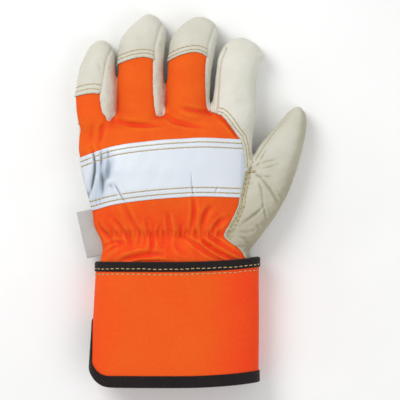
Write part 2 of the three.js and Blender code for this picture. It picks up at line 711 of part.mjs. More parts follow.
function indexFinger() {
  const tube = fingerForm(INDEX_FINGER, 0, FINGER_FACETS).intersect(beyondCrotches(0));
  const wing = outside.intersect(wingRegion(-HALF_GAP));
  return tube.add(wing).subtract(leatherInside).subtract(besideBack);
}

function thumb() {
  return leatherShell.intersect(prism(thumbOutline(), -HALF_GAP)).subtract(besideBack);
}

function palm() {
  return leatherShell
    .subtract(beyondCrotches(HALF_GAP))
    .subtract(wingRegion(HALF_GAP))
    .subtract(prism(thumbOutline(), HALF_GAP))
    .subtract(besideBack);
}

function tape() {
  return handForm(-SEAM_GAP - TAPE_THICKNESS)
    .subtract(gloveForm(-SEAM_GAP))
    .intersect(prism(tapeOutline()))
    .intersect(prism(backOutline(), -HALF_GAP))
    .intersect(aboveSeam(-HALF_GAP));
}

// The label's outer part, which stands out of the side seam below the tape.
function label() {
  const turn = new THREE.Matrix4().makeRotationZ(THREE.MathUtils.degToRad(LABEL_TILT));
  turn.setPosition(across(LABEL_SEAT.across), along(LABEL_SEAT.at), SEAM_HEIGHT);
  const geometry = new THREE.BoxGeometry(LABEL_WIDTH, LABEL_LENGTH, LABEL_THICKNESS).applyMatrix4(turn);
  const aroundTape = handForm(-2 * SEAM_GAP - TAPE_THICKNESS).intersect(prism(tapeOutline(), SEAM_GAP));
  return solidOf(geometry).subtract(gloveForm(-SEAM_GAP)).subtract(aroundTape);
}

const hand = new THREE.Group();
hand.add(piece("palm", geometryOf(palm()), grainLeather));
hand.add(piece("thumb", geometryOf(thumb()), grainLeather));
hand.add(piece("index_finger", geometryOf(indexFinger()), grainLeather));
for (const finger of TIPPED_FINGERS) {
  hand.add(piece(finger.name + "_finger_front", geometryOf(fingerFront(finger)), grainLeather));
  hand.add(piece(finger.name + "_finger_tip", geometryOf(fingerTip(finger)), grainLeather));
}
hand.add(piece("fabric_back", geometryOf(fabricShell.intersect(backRegion(-HALF_GAP))), orangeCotton));
hand.add(piece("reflective_tape", geometryOf(tape()), silverTape));
hand.add(piece("side_label", geometryOf(label()), greySatin));

const cuff = new THREE.Group();
const topBinding = bindingOver(cuffBand(-TOP_BINDING_WIDTH, BEYOND));
cuff.position.y = CUFF_TOP;
cuff.add(piece("cuff", risen(geometryOf(cuffWall(0))), orangeCanvas));
cuff.add(piece("cuff_top_binding", risen(geometryOf(topBinding)), blackBinding));
cuff.add(piece("cuff_edge_binding", risen(geometryOf(edgeBinding())), blackBinding));

const glove = new THREE.Group();
glove.add(hand, cuff);

export default glove;
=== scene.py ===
"""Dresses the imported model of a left-hand fitter glove: grain leather palm, thumb, index finger and fingertips,
a hi-vis orange cotton back with gathered wrist, a reflective tape, and a stiff split cuff with black bindings."""

import math
from collections import namedtuple
from functools import lru_cache

import bmesh
import bpy
import numpy as np
from mathutils import Matrix, Vector
from mathutils.bvhtree import BVHTree


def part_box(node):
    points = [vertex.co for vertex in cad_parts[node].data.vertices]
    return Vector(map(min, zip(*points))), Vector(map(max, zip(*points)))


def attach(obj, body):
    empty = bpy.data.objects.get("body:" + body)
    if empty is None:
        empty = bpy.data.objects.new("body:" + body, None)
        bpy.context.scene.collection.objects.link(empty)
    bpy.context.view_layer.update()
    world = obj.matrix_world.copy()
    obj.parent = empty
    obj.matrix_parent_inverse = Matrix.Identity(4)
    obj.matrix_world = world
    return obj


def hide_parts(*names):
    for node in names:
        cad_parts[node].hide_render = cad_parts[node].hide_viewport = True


bl_info = {
    "name": "Leather fitter glove",
    "version": (1, 0, 0),
    "blender": (4, 5, 0),
    "location": "3D View > Sidebar > Glove",
    "description": "Makes the visible leather, cotton, tape, canvas and stitching of a fitter glove round its frame",
    "category": "Object",
}

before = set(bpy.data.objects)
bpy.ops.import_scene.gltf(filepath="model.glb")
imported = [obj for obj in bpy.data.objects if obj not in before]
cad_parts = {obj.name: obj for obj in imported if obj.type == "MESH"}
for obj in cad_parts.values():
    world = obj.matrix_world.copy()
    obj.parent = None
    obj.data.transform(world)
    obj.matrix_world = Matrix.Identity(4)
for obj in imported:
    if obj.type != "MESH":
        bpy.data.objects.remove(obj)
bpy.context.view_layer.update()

# The frame is in metres. Shapes are worked out here in millimetres.
MM = 1000.0

TIPS = ["little_finger_tip", "ring_finger_tip", "middle_finger_tip"]
FRONTS = ["little_finger_front", "ring_finger_front", "middle_finger_front"]
LEATHER = ["palm", "thumb", "index_finger", *FRONTS, *TIPS]
WING = ["index_finger", "thumb"]
BACK = "fabric_back"
HAND = [*LEATHER, BACK]

# A crease runs on a curve from one end past its middle to the other, in millimetres from above, with its depth
# and half width. A negative depth is a ridge.
Crease = namedtuple("Crease", "x1 y1 x2 y2 x3 y3 depth width")


def creases(*rows):
    return [Crease(*row) for row in rows]


# Folds that run into the elastic of the wrist and out of it towards the cuff.
GATHERS = creases(
    (-31.8, -8.1, -25.9, -22.2, -20, -31.8, 1.43, 1.9),
    (-48.5, -20, -46.6, -29.6, -38.5, -37, 0.91, 1.5),
    (-40.7, -18.5, -33.3, -26.6, -30.3, -33.3, 0.65, 1.6),
    (-14.8, -22.2, -13.3, -28.1, -12.6, -34, 0.78, 1.2),
    (0, -17, 3, -25.9, 3.7, -33.3, 0.91, 1.8),
    (20, -5.2, 20.7, -18.5, 17.8, -30.3, 1.56, 1.5),
    (35.5, -10.4, 28.9, -20, 28.1, -31.8, 1.17, 2.2),
    (45.9, -20, 38.5, -25.9, 36.3, -31.8, 1.17, 1.6),
    (-8.9, -34, -10.4, -43.7, -11.1, -51.1, 0.65, 1.8),
    (6.7, -36, 8.9, -42, 17, -49, 0.65, 1.8),
    (10.4, -34, 26.6, -42.2, 38.5, -51.1, 1.56, 1.2),
    (25.9, -35.5, 35.5, -43.7, 56, -54, 2.86, 1.3),
    (32.6, -34, 40, -39.2, 60.7, -51.1, 1.69, 1.3),
    (-45.9, -43.7, -40, -38.8, -31.1, -38.5, 1.04, 1.1),
    (-44.4, -48.1, -37.7, -41.4, -31, -39.6, 1.04, 1.6),
    (-33.3, -52.5, -20.7, -48.1, -3, -47.4, 2.47, 1.5),
    (-30, -46, -14, -42, -3, -42.5, -0.78, 3.0),
    (-47.4, -25.9, -42.2, -34.8, -39.2, -42.2, 0.9, 1.4),
    (-37, -22.9, -30.3, -31.8, -25.9, -39.2, 0.9, 1.3),
    (2.2, -17, 1.5, -25.9, 3, -31, 0.7, 1.2),
    (32.6, -12.6, 28.1, -20, 26.6, -31.8, 1.1, 1.5),
    (42.2, -20, 36.3, -25.9, 34, -33.3, 1.0, 1.3),
    (-11.8, -33.3, -10.4, -42.2, -16.3, -51, 0.8, 1.5),
    (-4.5, -26, -6, -32, -5, -40, 0.7, 1.1),
    (12, -24, 11, -31, 13, -37, 0.7, 1.1),
    (22.5, -27, 22, -32, 25, -40, 0.7, 1.1),
    (-20, -28, -19, -34, -21, -42, 0.7, 1.1),
    (-30.5, -53.6, -21, -49.6, -8, -49.8, 1.6, 1.0),
    (-26, -54.2, -14, -52.4, 6, -53.6, 1.2, 1.1),
    (18, -38, 30, -46.5, 47, -54, 1.2, 1.2),
)

# Folds over the knuckles and at the roots of the fingers.
KNUCKLES = creases(
    (-33, 50, -17, 47.4, -1, 48.5, 1.43, 1.5),
    (-28, 45, -17, 43.5, -6, 44.5, -0.65, 3.0),
    (0, 55, 11, 49.3, 30, 46.5, 1.43, 1.5),
    (10.4, 61.4, 20, 58.6, 31.8, 57.4, 1.04, 1.7),
    (-45, 49.5, -47.5, 43, -50, 32, 1.17, 1.8),
    (-54, 50, -55.5, 42, -56, 33, 0.52, 2.2),
    (38.5, 54.8, 47.4, 47.4, 53.3, 38.5, 2.08, 1.5),
    (36, 50.5, 43, 45, 48, 39, -0.65, 2.4),
    (-36, 54, -25, 52.5, -11.8, 53, -0.65, 2.4),
    (10.4, 55.5, 20, 53.5, 30.3, 52, -0.78, 2.4),
)

# Folds of the tape, most of them near the side seam, and small puckers at its two stitched edges.
TAPE_FOLDS = creases(
    (-55.2, 31, -52.7, 15, -58.2, -7, 1.9, 1.5),
    (-49, 31, -48, 22, -50, 12, 1.0, 1.6),
    (-48.2, 14, -46.4, 5, -47.0, -5, 0.7, 1.6),
    (-42.3, 27, -41.4, 14, -43.4, 5, 0.5, 1.1),
    (-42.2, 2.6, -40, 4, -37.4, 3.7, 0.25, 1.1),
    (-37.6, 4.2, -34.6, -1.5, -30.3, -9, 1.5, 0.9),
    (-44.5, 3, -41, 5.8, -36, 6.4, -0.2, 2.0),
    (18.5, 13.3, 19.4, 2.2, 20.2, -4.8, 0.9, 0.8),
    (38.5, 3.7, 37, 0, 35.3, -4.4, 0.5, 0.9),
    (-54.5, -4.5, -54.2, -8, -54, -11, 0.6, 0.7),
    (-51.8, -5, -51.4, -8, -51, -11.5, 0.6, 0.7),
    (-49.4, -5.5, -49, -8.5, -48.6, -11.3, 0.6, 0.7),
    (-42.6, 30.4, -42.4, 27, -42.3, 24, 0.5, 0.7),
    (-50.3, 28.4, -50.2, 25, -50.2, 22.4, 0.5, 0.7),
)

# Places of the tape laid grey as painted shade in its folds: the depth is how grey they are.
TAPE_TINTS = creases(
    (-55.4, 31, -52.8, 15, -58.4, -8, 0.9, 1.5),
    (-45, 33, -47.5, 12, -52, -11, 0.62, 6.8),
    (-39, 27, -41, 16, -46, 4, 0.2, 3.4),
    (-49, 31, -48, 22, -50, 12, 0.3, 1.5),
    (-48.4, 14, -46.4, 5, -47.2, -6, 0.36, 1.5),
    (-43.3, 28, -43.2, 12, -45.5, 5, 0.2, 1.0),
    (-36.5, 25, -39.5, 18, -43, 8, 0.14, 2.2),
    (-42, 3, -39.5, 2.8, -36.8, 0, 0.6, 1.5),
    (-37.4, 4.2, -34.4, -1.5, -30.1, -9.2, 0.85, 0.7),
    (18.5, 13.5, 19.4, 2.2, 20.2, -5, 0.35, 0.5),
    (38.5, 3.7, 37, 0, 35.3, -4.4, 0.3, 0.6),
    (57.5, 38, 56.5, 18, 56, -6, 0.3, 1.6),
    (-64.6, 28, -60.4, 8, -55.6, -12, 0.6, 1.0),
)

# Creases of the leather, which run out from the tack at the thumb's crotch, and the thumb's own side seam.
LEATHER_CREASES = creases(
    (65.5, 19.5, 74.5, 36, 92.5, 57.5, 0.8, 0.8),
    (66.6, 17, 70.5, 24, 75, 33, 0.5, 0.8),
    (64.5, 16.5, 72, 20.5, 84, 22.5, 0.42, 1.0),
    (64.8, 15, 74, 16.2, 86, 20.5, 0.45, 1.1),
    (65, 13.6, 73, 13.4, 82, 15, 0.4, 1.0),
    (65, 12.4, 71, 10.2, 79, 10.6, 0.42, 1.0),
    (65.2, 12.2, 75, 3, 85, -12.5, 0.95, 1.1),
    (84.5, -8, 83.5, -11.5, 81, -14, -0.8, 1.6),
    (66, 10.5, 69.8, 1.5, 71, -8.5, 0.7, 1.1),
    (71, -7.4, 72.5, -14, 74.3, -20.5, 0.9, 0.8),
    (71.4, -10.4, 67, -17, 52.5, -26, 1.0, 1.0),
    (69, -14.8, 60, -22.5, 50, -30.5, 0.6, 0.9),
    (51, -33, 58.5, -37, 61, -43, 0.8, 1.1),
    (49, -30, 60, -31, 68, -27, 0.5, 1.2),
    (66, -24, 69, -29, 67, -34, 0.5, 1.0),
    (62, -22, 66, -26, 73, -25, 0.4, 0.9),
    (56, 68, 54, 62, 47, 58, 0.5, 4.0),
    (-50.5, 96, -49, 91, -47.4, 84, 0.4, 1.3),
)

# The rectangle that each leather panel is cut from and the cut's own area, in metres, and what carries it.
Cut = namedtuple("Cut", "width length area rests_on")
LEATHER_CUTS = {
    "palm": Cut(0.135, 0.170, 0.0150, []),
    "thumb": Cut(0.105, 0.150, 0.0100, ["palm_leather"]),
    "index_finger": Cut(0.080, 0.125, 0.0075, ["palm_leather"]),
    "middle_finger_front": Cut(0.058, 0.105, 0.0043, ["palm_leather"]),
    "ring_finger_front": Cut(0.058, 0.110, 0.0048, ["palm_leather"]),
    "little_finger_front": Cut(0.050, 0.090, 0.0036, ["palm_leather"]),
    "middle_finger_tip": Cut(0.042, 0.045, 0.0013, ["middle_finger_front_leather"]),
    "ring_finger_tip": Cut(0.042, 0.048, 0.0014, ["ring_finger_front_leather"]),
    "little_finger_tip": Cut(0.034, 0.052, 0.00125, ["little_finger_front_leather"]),
}

# The seam along the index finger's left side.
INDEX_SEAM = [(37.4, 56), (38.0, 62), (38.3, 70), (38.6, 80), (39.4, 89), (41.2, 97), (44.5, 104.5)]

# How a lapped leather edge sits: how far its hem is moved up the finger from the CAD model's border, and how far
# its two stitch rows are from the hem, in millimetres.
Hem = namedtuple("Hem", "shift first second")
HEMS = {
    "little_finger_tip": Hem(-2.2, 3.3, 6.8),
    "ring_finger_tip": Hem(2.4, 2.7, 5.4),
    "middle_finger_tip": Hem(1.3, 1.7, 4.6),
    "index_finger": Hem(0.0, 1.9, 4.5),
    "thumb": Hem(0.0, 1.9, 4.5),
}
# The wing's two stitch rows end at these Y towards the cuff, and stay right of this X above this Y.
WING_ROW_ENDS = (-37.5, -30.0)
WING_LEFT = 39.2
WING_ROOT = 40
# Rows on the hand and on the tape are sewn above these heights over the floor.
SEWN_ABOVE = 11
TAPED_ABOVE = 12

# How far the tape's two stitch rows are from its edges, how deep they draw it in, and how far it lies off the back.
TAPE_ROWS = (3.1, 6.7)
TAPE_DIP = 0.15
TAPE_CLEARANCE = 0.06
# Its edges are measured so far in from the two ends of its node, and run on straight by so much from there.
TAPE_INSET = (9.3, 14.3)
TAPE_RUN = 40

# Places where the cotton's border draws back from the CAD model's by an amount, or runs over it.
Shift = namedtuple("Shift", "x y radius amount")
BORDER_SHIFTS = [
    Shift(-65.5, 45, 12, 2.8),
    Shift(-47.5, -50.5, 6, 2.6),
    Shift(-45.6, 53.2, 2.6, -2.2),
    Shift(-37.0, 53.0, 3.0, -2.8),
    Shift(-41.6, 50.5, 2.2, 1.2),
]

# Places where the wrist's side stands further out than in the CAD model, by an amount along X.
SWELLS = [
    Shift(-52, -27, 8, -1.7),
    Shift(-47, -49.5, 5, -1.8),
    Shift(-46, -54.5, 3.5, -2.4),
]

# The small corner in which the index finger's tip ends beside its seam, moved along X, and the place of the tack
# at the thumb's crotch, raised over the skin.
INDEX_CORNER = Shift(71.4, 99.2, 2.6, 1.5)
TACK = Shift(63.0, 13.8, 2.8, 0.6)

# Webs of leather and cotton fill the bottoms of the crotches.
Web = namedtuple("Web", "centre radii")
WEBS = [
    Web((64.4, 19.0, 15.0), (2.8, 7.5, 10.0)),
    Web((-36.7, 53.5, 13.0), (2.4, 4.0, 9.5)),
    Web((-0.4, 57.5, 13.0), (2.4, 4.0, 9.5)),
    Web((32.9, 60.0, 13.0), (2.4, 4.0, 9.5)),
]

# The gap beside the index finger, and how far along X the panels on its two sides stand back from it.
INDEX_GAP = Crease(36.2, 99, 35.0, 80, 33.2, 61, 1, 3.2)
GIVE = {"index_finger": 1.4, "middle_finger_front": -0.7, "middle_finger_tip": -0.3}

# The elastic's place along the hand, and the spacing of its puckers and of the wider gathers.
ELASTIC_Y = -32.8
PUCKER = 3.1
GATHER = 6.1

# The solids are grown by so much before they are remeshed, and the skin then stands proud of them by so much.
SKIN_GROWTH = 0.4
SKIN_PROUD = 0.25
# The panels end here inside the cuff, along Y. On the way there the wrist is drawn in over one stretch, and its
# swells die out over another.
WRIST_END = -60.5
DRAWN_IN = (51.5, 55.5)
TUCKED = (54.5, 58)
# Panels run on a little into a turned seam, so that no gap shows in it.
SEAM_LAP = 0.3
# A point this near to a CAD node lies on its panel.
ON_PANEL = 0.8
# A hollow of this depth counts as a whole fold.
DEEP_FOLD = 0.32

# A section of the cuff is a rounded box. Its widest line is at this share of its depth, and these are how square
# its back and underside are, and how far the underside is pressed flat.
WAIST = 0.42
BACK_SQUARENESS = 2.3
UNDERSIDE_SQUARENESS = 2.8
PRESS = 1.12
# The real cuff is a little larger than its CAD model.
EASE = namedtuple("Ease", "left right lower")(1.8, 0.8, 3.4)
# The split lies a little under the side and starts lower than in the CAD model, so that little of it shows
# from above. The corners beside it are taller than they are wide.
SPLIT_SHIFT = 8.0
SPLIT_DROP = 13.0
CORNER_TALLNESS = 1.3
# The spacing of the cuff's points.
CUFF_STEP = 1.5

# How far the label is turned from the glove's length, how much of it is in the seam, and how thick it is.
LABEL_TILT = math.radians(13)
LABEL_IN_SEAM = 1.5
LABEL_WALL = 0.6

# A wave texture of this scale has its bands a metre apart.
WAVE_BAND = math.pi / 10
# The middle of the picture, in metres, and the camera's sensor in millimetres.
VIEW_CENTRE = (0.0252, -0.0074, 0.02)
SENSOR = 36


def linear(code):
    """The linear RGBA of an sRGB hex code."""
    shares = [int(code[i : i + 2], 16) / 255 for i in (1, 3, 5)]
    return [s / 12.92 if s <= 0.04045 else ((s + 0.055) / 1.055) ** 2.4 for s in shares] + [1.0]


def number(name, description, default, **limits):
    return bpy.props.FloatProperty(name=name, description=description, default=default, **limits)


def length(name, description, default, smallest=0.0, largest=0.5):
    return number(name, description, default, min=smallest, max=largest, unit="LENGTH", precision=4)


def colour(name, description, code):
    return bpy.props.FloatVectorProperty(
        name=name, description=description, default=linear(code), size=4, subtype="COLOR", min=0, max=1
    )


def share(name, description, default):
    return number(name, description, default, min=0, max=1, subtype="FACTOR")


class GloveSkinSettings(bpy.types.PropertyGroup):
    voxel: length("Skin spacing", "Spacing of the points of the hand's skin", 0.0008, 0.0005)
    relax: bpy.props.IntProperty(
        name="Relaxing", description="Rounds of smoothing that take the facets off", default=36, min=0, max=200
    )
    gather: share("Gathers", "Strength of the gathers at the wrist", 1.0)
    fold: share("Folds", "Strength of the folds of the back and of the tape", 1.0)
    wrinkle: share("Wrinkles", "Strength of the creases of the leather", 1.0)


class GloveLeatherSettings(bpy.types.PropertyGroup):
    thickness: length("Thickness", "Thickness of the leather panels", 0.0015)
    lap_rise: length("Lap rise", "How far an edge stands up where leather laps over the back", 0.0009)
    face: colour("Leather", "Grain side of the leather", "#DFDED3")
    # Painted shade: this colour is laid in the creases and hollows and on the thumb's side turned from the light. It
    # also darkens whole panels.
    shade: colour("Darker leather and painted shade", "Leather in its creases and hollows", "#A39D83")
    edge: colour("Cut edge", "Raw edge of the leather", "#B7BFAF")


class GloveBackSettings(bpy.types.PropertyGroup):
    thickness: length("Thickness", "Thickness of the lined cotton", 0.0014)
    underlap: length("Underlap", "How far the cotton runs on under a lapped leather edge", 0.003)
    face: colour("Cotton", "Hi-vis orange cotton", "#E5561A")
    # Painted shade: the valley colour is laid in the cotton's folds, redder rather than darker.
    valley: colour("Cotton in folds", "Painted shade: the same dye in a fold, laid redder", "#E33020")
    # Painted shade in part: the gathered colour is laid towards the wrist and on the sides that turn from the light.
    wrist: colour("Gathered cotton", "The same dye where the cotton is gathered, redder too", "#F03F1B")
    # Painted highlight: the ridge colour is laid on the cotton's ridges.
    ridge: colour("Cotton on ridges", "The same dye on a ridge in full light", "#EC6E20")


class GloveTapeSettings(bpy.types.PropertyGroup):
    thickness: length("Thickness", "Thickness of the tape", 0.0005)
    face: colour("Tape", "Silver glass-bead face", "#DAE0E8")
    shade: colour("Tape in soft folds", "Bluish silver where the tape turns from the light", "#ABBBD2")
    # Painted shade: this colour is laid in the tape's deepest folds.
    crease: colour("Tape in creases", "Painted shade in the creases", "#6A706F")


class GloveCuffSettings(bpy.types.PropertyGroup):
    thickness: length("Canvas thickness", "Thickness of the rubberised canvas", 0.002)
    binding: length("Binding thickness", "Thickness of the binding tape over the canvas", 0.001)
    top_width: length("Upper binding", "Width of the binding on the cuff's upper edge", 0.0062)
    edge_width: length("Lower binding", "Width of the binding on the cuff's lower edge", 0.0077)
    corner: length("Corner radius", "Radius of the corners beside the split", 0.0145)
    face: colour("Canvas", "Rubberised orange canvas", "#E95617")
    shade: colour("Canvas in shade", "The same orange on the side that is turned from the light", "#F53B1A")
    bound: colour("Binding", "Black binding tape", "#1E1718")
    label: colour("Label", "Grey satin label", "#BEBDBA")


class GloveStitchSettings(bpy.types.PropertyGroup):
    pitch: length("Pitch", "From one stitch to the next", 0.0037)
    width: length("Thread", "Width of the thread, drawn a little coarse so that it shows", 0.00098)
    face: colour("Thread", "Tan polyester thread", "#C6AE76")
    # Painted shade: this colour is laid on each stitch's ends, in place of the shaded hole.
    end: colour("Thread ends", "Thread where it dips into its hole", "#4A3A20")


class GloveStageSettings(bpy.types.PropertyGroup):
    view_width: length("View width", "Width of the picture at the glove", 0.296, 0.05, 2.0)
    distance: length("Camera distance", "Height of the camera over the glove", 2.6, 0.5, 10.0)
    floor: colour("Floor", "Plain pale floor", "#FDFDFD")
    key: number("Key light", "Power of the soft key light", 12, unit="POWER")
    fill: number("Fill light", "Power of the soft fill", 5, unit="POWER")
    sky: share("Surround", "Brightness of the white studio all round", 0.57)


SETTINGS = {
    "glove_skin": GloveSkinSettings,
    "glove_leather": GloveLeatherSettings,
    "glove_back": GloveBackSettings,
    "glove_tape": GloveTapeSettings,
    "glove_cuff": GloveCuffSettings,
    "glove_stitch": GloveStitchSettings,
    "glove_stage": GloveStageSettings,
}


def settings(name):
    return getattr(bpy.context.scene, "glove_" + name)


# Numbers spread over points and lines.


def smoothstep(value, low, high):
    """From 0 at low to 1 at high, also where low is the larger."""
    t = np.clip((value - low) / (high - low), 0, 1)
    return t * t * (3 - 2 * t)


def bump(distance, width):
    return np.exp(-((distance / width) ** 2))


def unit(vectors):
    return vectors / np.maximum(np.linalg.norm(vectors, axis=-1, keepdims=True), 1e-9)


def grounded(points):
    """The points, with those under the floor raised to it."""
    points[..., 2] = np.maximum(points[..., 2], 0.0)
    return points


def lumps(points, size, seed):
    """A smooth random height between about -1 and 1, with lumps of that size."""
    random = np.random.default_rng(seed)
    total = np.zeros(len(points))
    for _ in range(18):
        way = random.normal(size=3)
        way *= 2 * math.pi / (size * 2 * random.uniform(0.7, 1.5)) / np.linalg.norm(way)
        total += np.sin(points @ way + random.uniform(0, 2 * math.pi))
    return total / 6


def softened(line, rounds):
    """A line with its corners softened and its ends kept."""
    for _ in range(rounds):
        line = np.concatenate([line[:1], (line[:-2] + 2 * line[1:-1] + line[2:]) / 4, line[-1:]])
    return line


def reach_of(line):
    """How far along a polyline each of its points lies."""
    return np.concatenate([[0], np.cumsum(np.linalg.norm(np.diff(line, axis=0), axis=1))])


def spots_at(line, reach, at):
    """The points of a polyline at the given reaches."""
    return np.stack([np.interp(at, reach, column) for column in line.T], axis=1)


def line_distance(points, line):
    """Distance from points to a polyline, and the share of the way along it. The last result is -1 on the right
    of its run, and else 1."""
    best = np.full(len(points), np.inf)
    along, side = np.zeros(len(points)), np.ones(len(points))
    for i, (start, end) in enumerate(zip(line, line[1:])):
        step, offset = end - start, points - start
        part = np.clip(offset @ step / (step @ step), 0, 1)
        away = np.linalg.norm(offset - part[:, None] * step, axis=1)
        nearer = away < best
        best[nearer] = away[nearer]
        along[nearer] = (i + part[nearer]) / (len(line) - 1)
        turn = step[0] * offset[:, 1] - step[1] * offset[:, 0]
        side[nearer] = np.where(turn[nearer] < 0, -1, 1)
    return best, along, side


def curve_distance(points, row):
    """Distance from above to a crease's curve, and the share of the way along it."""
    t = np.linspace(0, 1, 13)[:, None]
    start, end = np.array([row.x1, row.y1]), np.array([row.x3, row.y3])
    pull = 2 * np.array([row.x2, row.y2]) - (start + end) / 2
    line = (1 - t) ** 2 * start + 2 * t * (1 - t) * pull + t * t * end
    return line_distance(points[:, :2], line)[:2]


def creased(points, rows, strength):
    """Height that the creases take away. Each fades out to its ends, and has a low shoulder on either side."""
    height = np.zeros(len(points))
    for row in rows:
        reach = 4 * row.width
        low = min(row.x1, row.x2, row.x3) - reach, min(row.y1, row.y2, row.y3) - reach
        high = max(row.x1, row.x2, row.x3) + reach, max(row.y1, row.y2, row.y3) + reach
        near = np.all((points[:, :2] > low) & (points[:, :2] < high), axis=1)
        away, along = curve_distance(points[near], row)
        fade = np.sin(np.clip(along, 0.04, 0.96) * math.pi) ** 0.7
        shoulder = 0.32 * bump(away - 2.1 * row.width, row.width)
        height[near] -= strength * row.depth * fade * (bump(away, row.width) - shoulder)
    return height


# The hand's skin: one closed surface round all panels of the hand, from which each panel is cut.


class Skin:
    """Points of the hand's outer surface in millimetres, their quads and edges, and distances to the CAD nodes."""

    def __init__(self, points, quads):
        self.rest, self.quads = points, quads
        pairs = np.concatenate([quads[:, [corner, (corner + 1) % 4]] for corner in range(4)])
        self.edges = np.unique(np.sort(pairs, axis=1), axis=0)
        self.valence = np.maximum(np.bincount(self.edges.ravel(), minlength=len(points)), 1)

    def average(self, values):
        """The mean of each point's neighbours."""
        a, b = self.edges.T
        columns = values.reshape(len(values), -1).T
        total = [np.bincount(a, c[b], len(c)) + np.bincount(b, c[a], len(c)) for c in columns]
        return (np.array(total) / self.valence).T.reshape(values.shape)

    def relaxed(self, values, rounds):
        for _ in range(rounds):
            values = values * 0.5 + self.average(values) * 0.5
        return values

    def normals(self, points):
        p = points[self.quads]
        cross = np.cross(p[:, 2] - p[:, 0], p[:, 3] - p[:, 1])
        total = np.zeros_like(points)
        for corner in range(4):
            for axis in range(3):
                total[:, axis] += np.bincount(self.quads[:, corner], cross[:, axis], len(points))
        return unit(total)

    def nearest(self, names):
        """Distance to the nearest of some CAD nodes."""
        return np.min([self.distance[name] for name in names], axis=0)


def node_points(name):
    return np.array([v.co[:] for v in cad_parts[name].data.vertices]) * MM


def node_bmesh(name, grow=0.0):
    """A merged copy of a CAD node's mesh, moved out along its normals by grow."""
    bm = bmesh.new()
    bm.from_mesh(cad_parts[name].data)
    bmesh.ops.remove_doubles(bm, verts=bm.verts, dist=1e-6)
    bm.normal_update()
    for vert in bm.verts:
        vert.co += vert.normal * grow
    return bm


def mesh_of(bm, name):
    """A new mesh of a bmesh, which is freed."""
    mesh = bpy.data.meshes.new(name)
    bm.to_mesh(mesh)
    bm.free()
    return mesh


def stand_back(bm, give):
    """Moves a panel's wall back from the gap beside the index finger."""
    away, along = curve_distance(np.array([vert.co[:] for vert in bm.verts]) * MM, INDEX_GAP)
    moves = give * bump(away, INDEX_GAP.width) * np.sin(np.clip(along, 0.02, 0.98) * math.pi) ** 0.5
    for vert, move in zip(bm.verts, moves.tolist()):
        vert.co.x += move / MM


def whole_hand(voxel):
    """The remeshed solid round all hand nodes, with a plug in the wrist's mouth and webs in the crotches."""
    whole = bpy.data.meshes.new("whole_hand")
    joined = bmesh.new()
    for name in HAND:
        part = node_bmesh(name, SKIN_GROWTH / MM)
        stand_back(part, GIVE.get(name, 0))
        part.to_mesh(whole)
        part.free()
        joined.from_mesh(whole)
    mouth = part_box(BACK)[0][1]
    ring = [v.co for v in joined.verts if v.co.y < mouth + 0.004]
    spans = [(min(co[i] for co in ring), max(co[i] for co in ring)) for i in (0, 2)]
    seat = Matrix.Translation((sum(spans[0]) / 2, mouth - 0.0015, sum(spans[1]) / 2))
    size = spans[0][1] - spans[0][0], 0.006, spans[1][1] - spans[1][0]
    bmesh.ops.create_cube(joined, size=1, matrix=seat @ Matrix.Diagonal((*size, 1)))
    for web in WEBS:
        seat = Matrix.Translation([c / MM for c in web.centre]) @ Matrix.Diagonal([r / MM for r in web.radii] + [1])
        bmesh.ops.create_uvsphere(joined, u_segments=24, v_segments=16, radius=1, matrix=seat)
    joined.to_mesh(whole)
    joined.free()
    solid = bpy.data.objects.new("whole_hand", whole)
    bpy.context.scene.collection.objects.link(solid)
    remesh = solid.modifiers.new("Remesh", "REMESH")
    remesh.mode = "VOXEL"
    remesh.voxel_size = voxel
    result = bpy.data.meshes.new_from_object(solid.evaluated_get(bpy.context.evaluated_depsgraph_get()))
    bpy.data.objects.remove(solid)
    bpy.data.meshes.remove(whole)
    return result


def outer_island(mesh):
    """Points and quads of the surface that holds the highest point, without hidden inner ones."""
    count = len(mesh.vertices)
    points = np.empty(count * 3)
    mesh.vertices.foreach_get("co", points)
    points = points.reshape(-1, 3) * MM
    corners = np.empty(len(mesh.loops), dtype=np.int64)
    mesh.loops.foreach_get("vertex_index", corners)
    quads = corners.reshape(-1, 4)
    label, new = None, np.arange(count)
    while not np.array_equal(new, label):
        label, new = new, new.copy()
        np.minimum.at(new, quads.ravel(), np.repeat(label[quads].min(axis=1), 4))
        new = new[new]
    outer = label == label[np.argmax(points[:, 2])]
    return trimmed(points, quads[outer[quads[:, 0]]])


def trimmed(points, quads):
    """The points that quads use, and the quads' corners among them."""
    used, index = np.unique(quads, return_inverse=True)
    return points[used], index.reshape(-1, 4)


def node_distance(points, name, reach=14.0):
    """Distance from each point to a CAD node, as far as reach."""
    bm = node_bmesh(name)
    tree = BVHTree.FromBMesh(bm)
    bm.free()
    low, high = (np.array(corner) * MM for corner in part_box(name))
    near = np.all((points > low - reach) & (points < high + reach), axis=1)
    result = np.full(len(points), reach)
    for i in np.nonzero(near)[0]:
        found = tree.find_nearest(Vector(points[i] / MM), reach / MM)
        if found[0] is not None:
            result[i] = found[3] * MM
    return result


@lru_cache(maxsize=None)
def hand_skin():
    look = settings("skin")
    points, quads = outer_island(whole_hand(look.voxel))
    skin = Skin(*trimmed(points, quads[(points[quads][:, :, 1] > WRIST_END - 3).all(axis=1)]))
    skin.rest = skin.relaxed(skin.rest, look.relax)
    skin.rest = grounded(skin.rest - skin.normals(skin.rest) * (SKIN_GROWTH - SKIN_PROUD))
    skin.distance = {name: node_distance(skin.rest, name) for name in HAND}
    set_borders(skin)
    skin.points = skin_shape(skin)
    skin.normal = skin.normals(skin.points)
    smooth = skin.relaxed(skin.points, 12)
    hollow = np.einsum("ij,ij->i", smooth - skin.points, skin.normals(smooth))
    skin.fold = np.clip(hollow / DEEP_FOLD, -1, 1)
    return skin


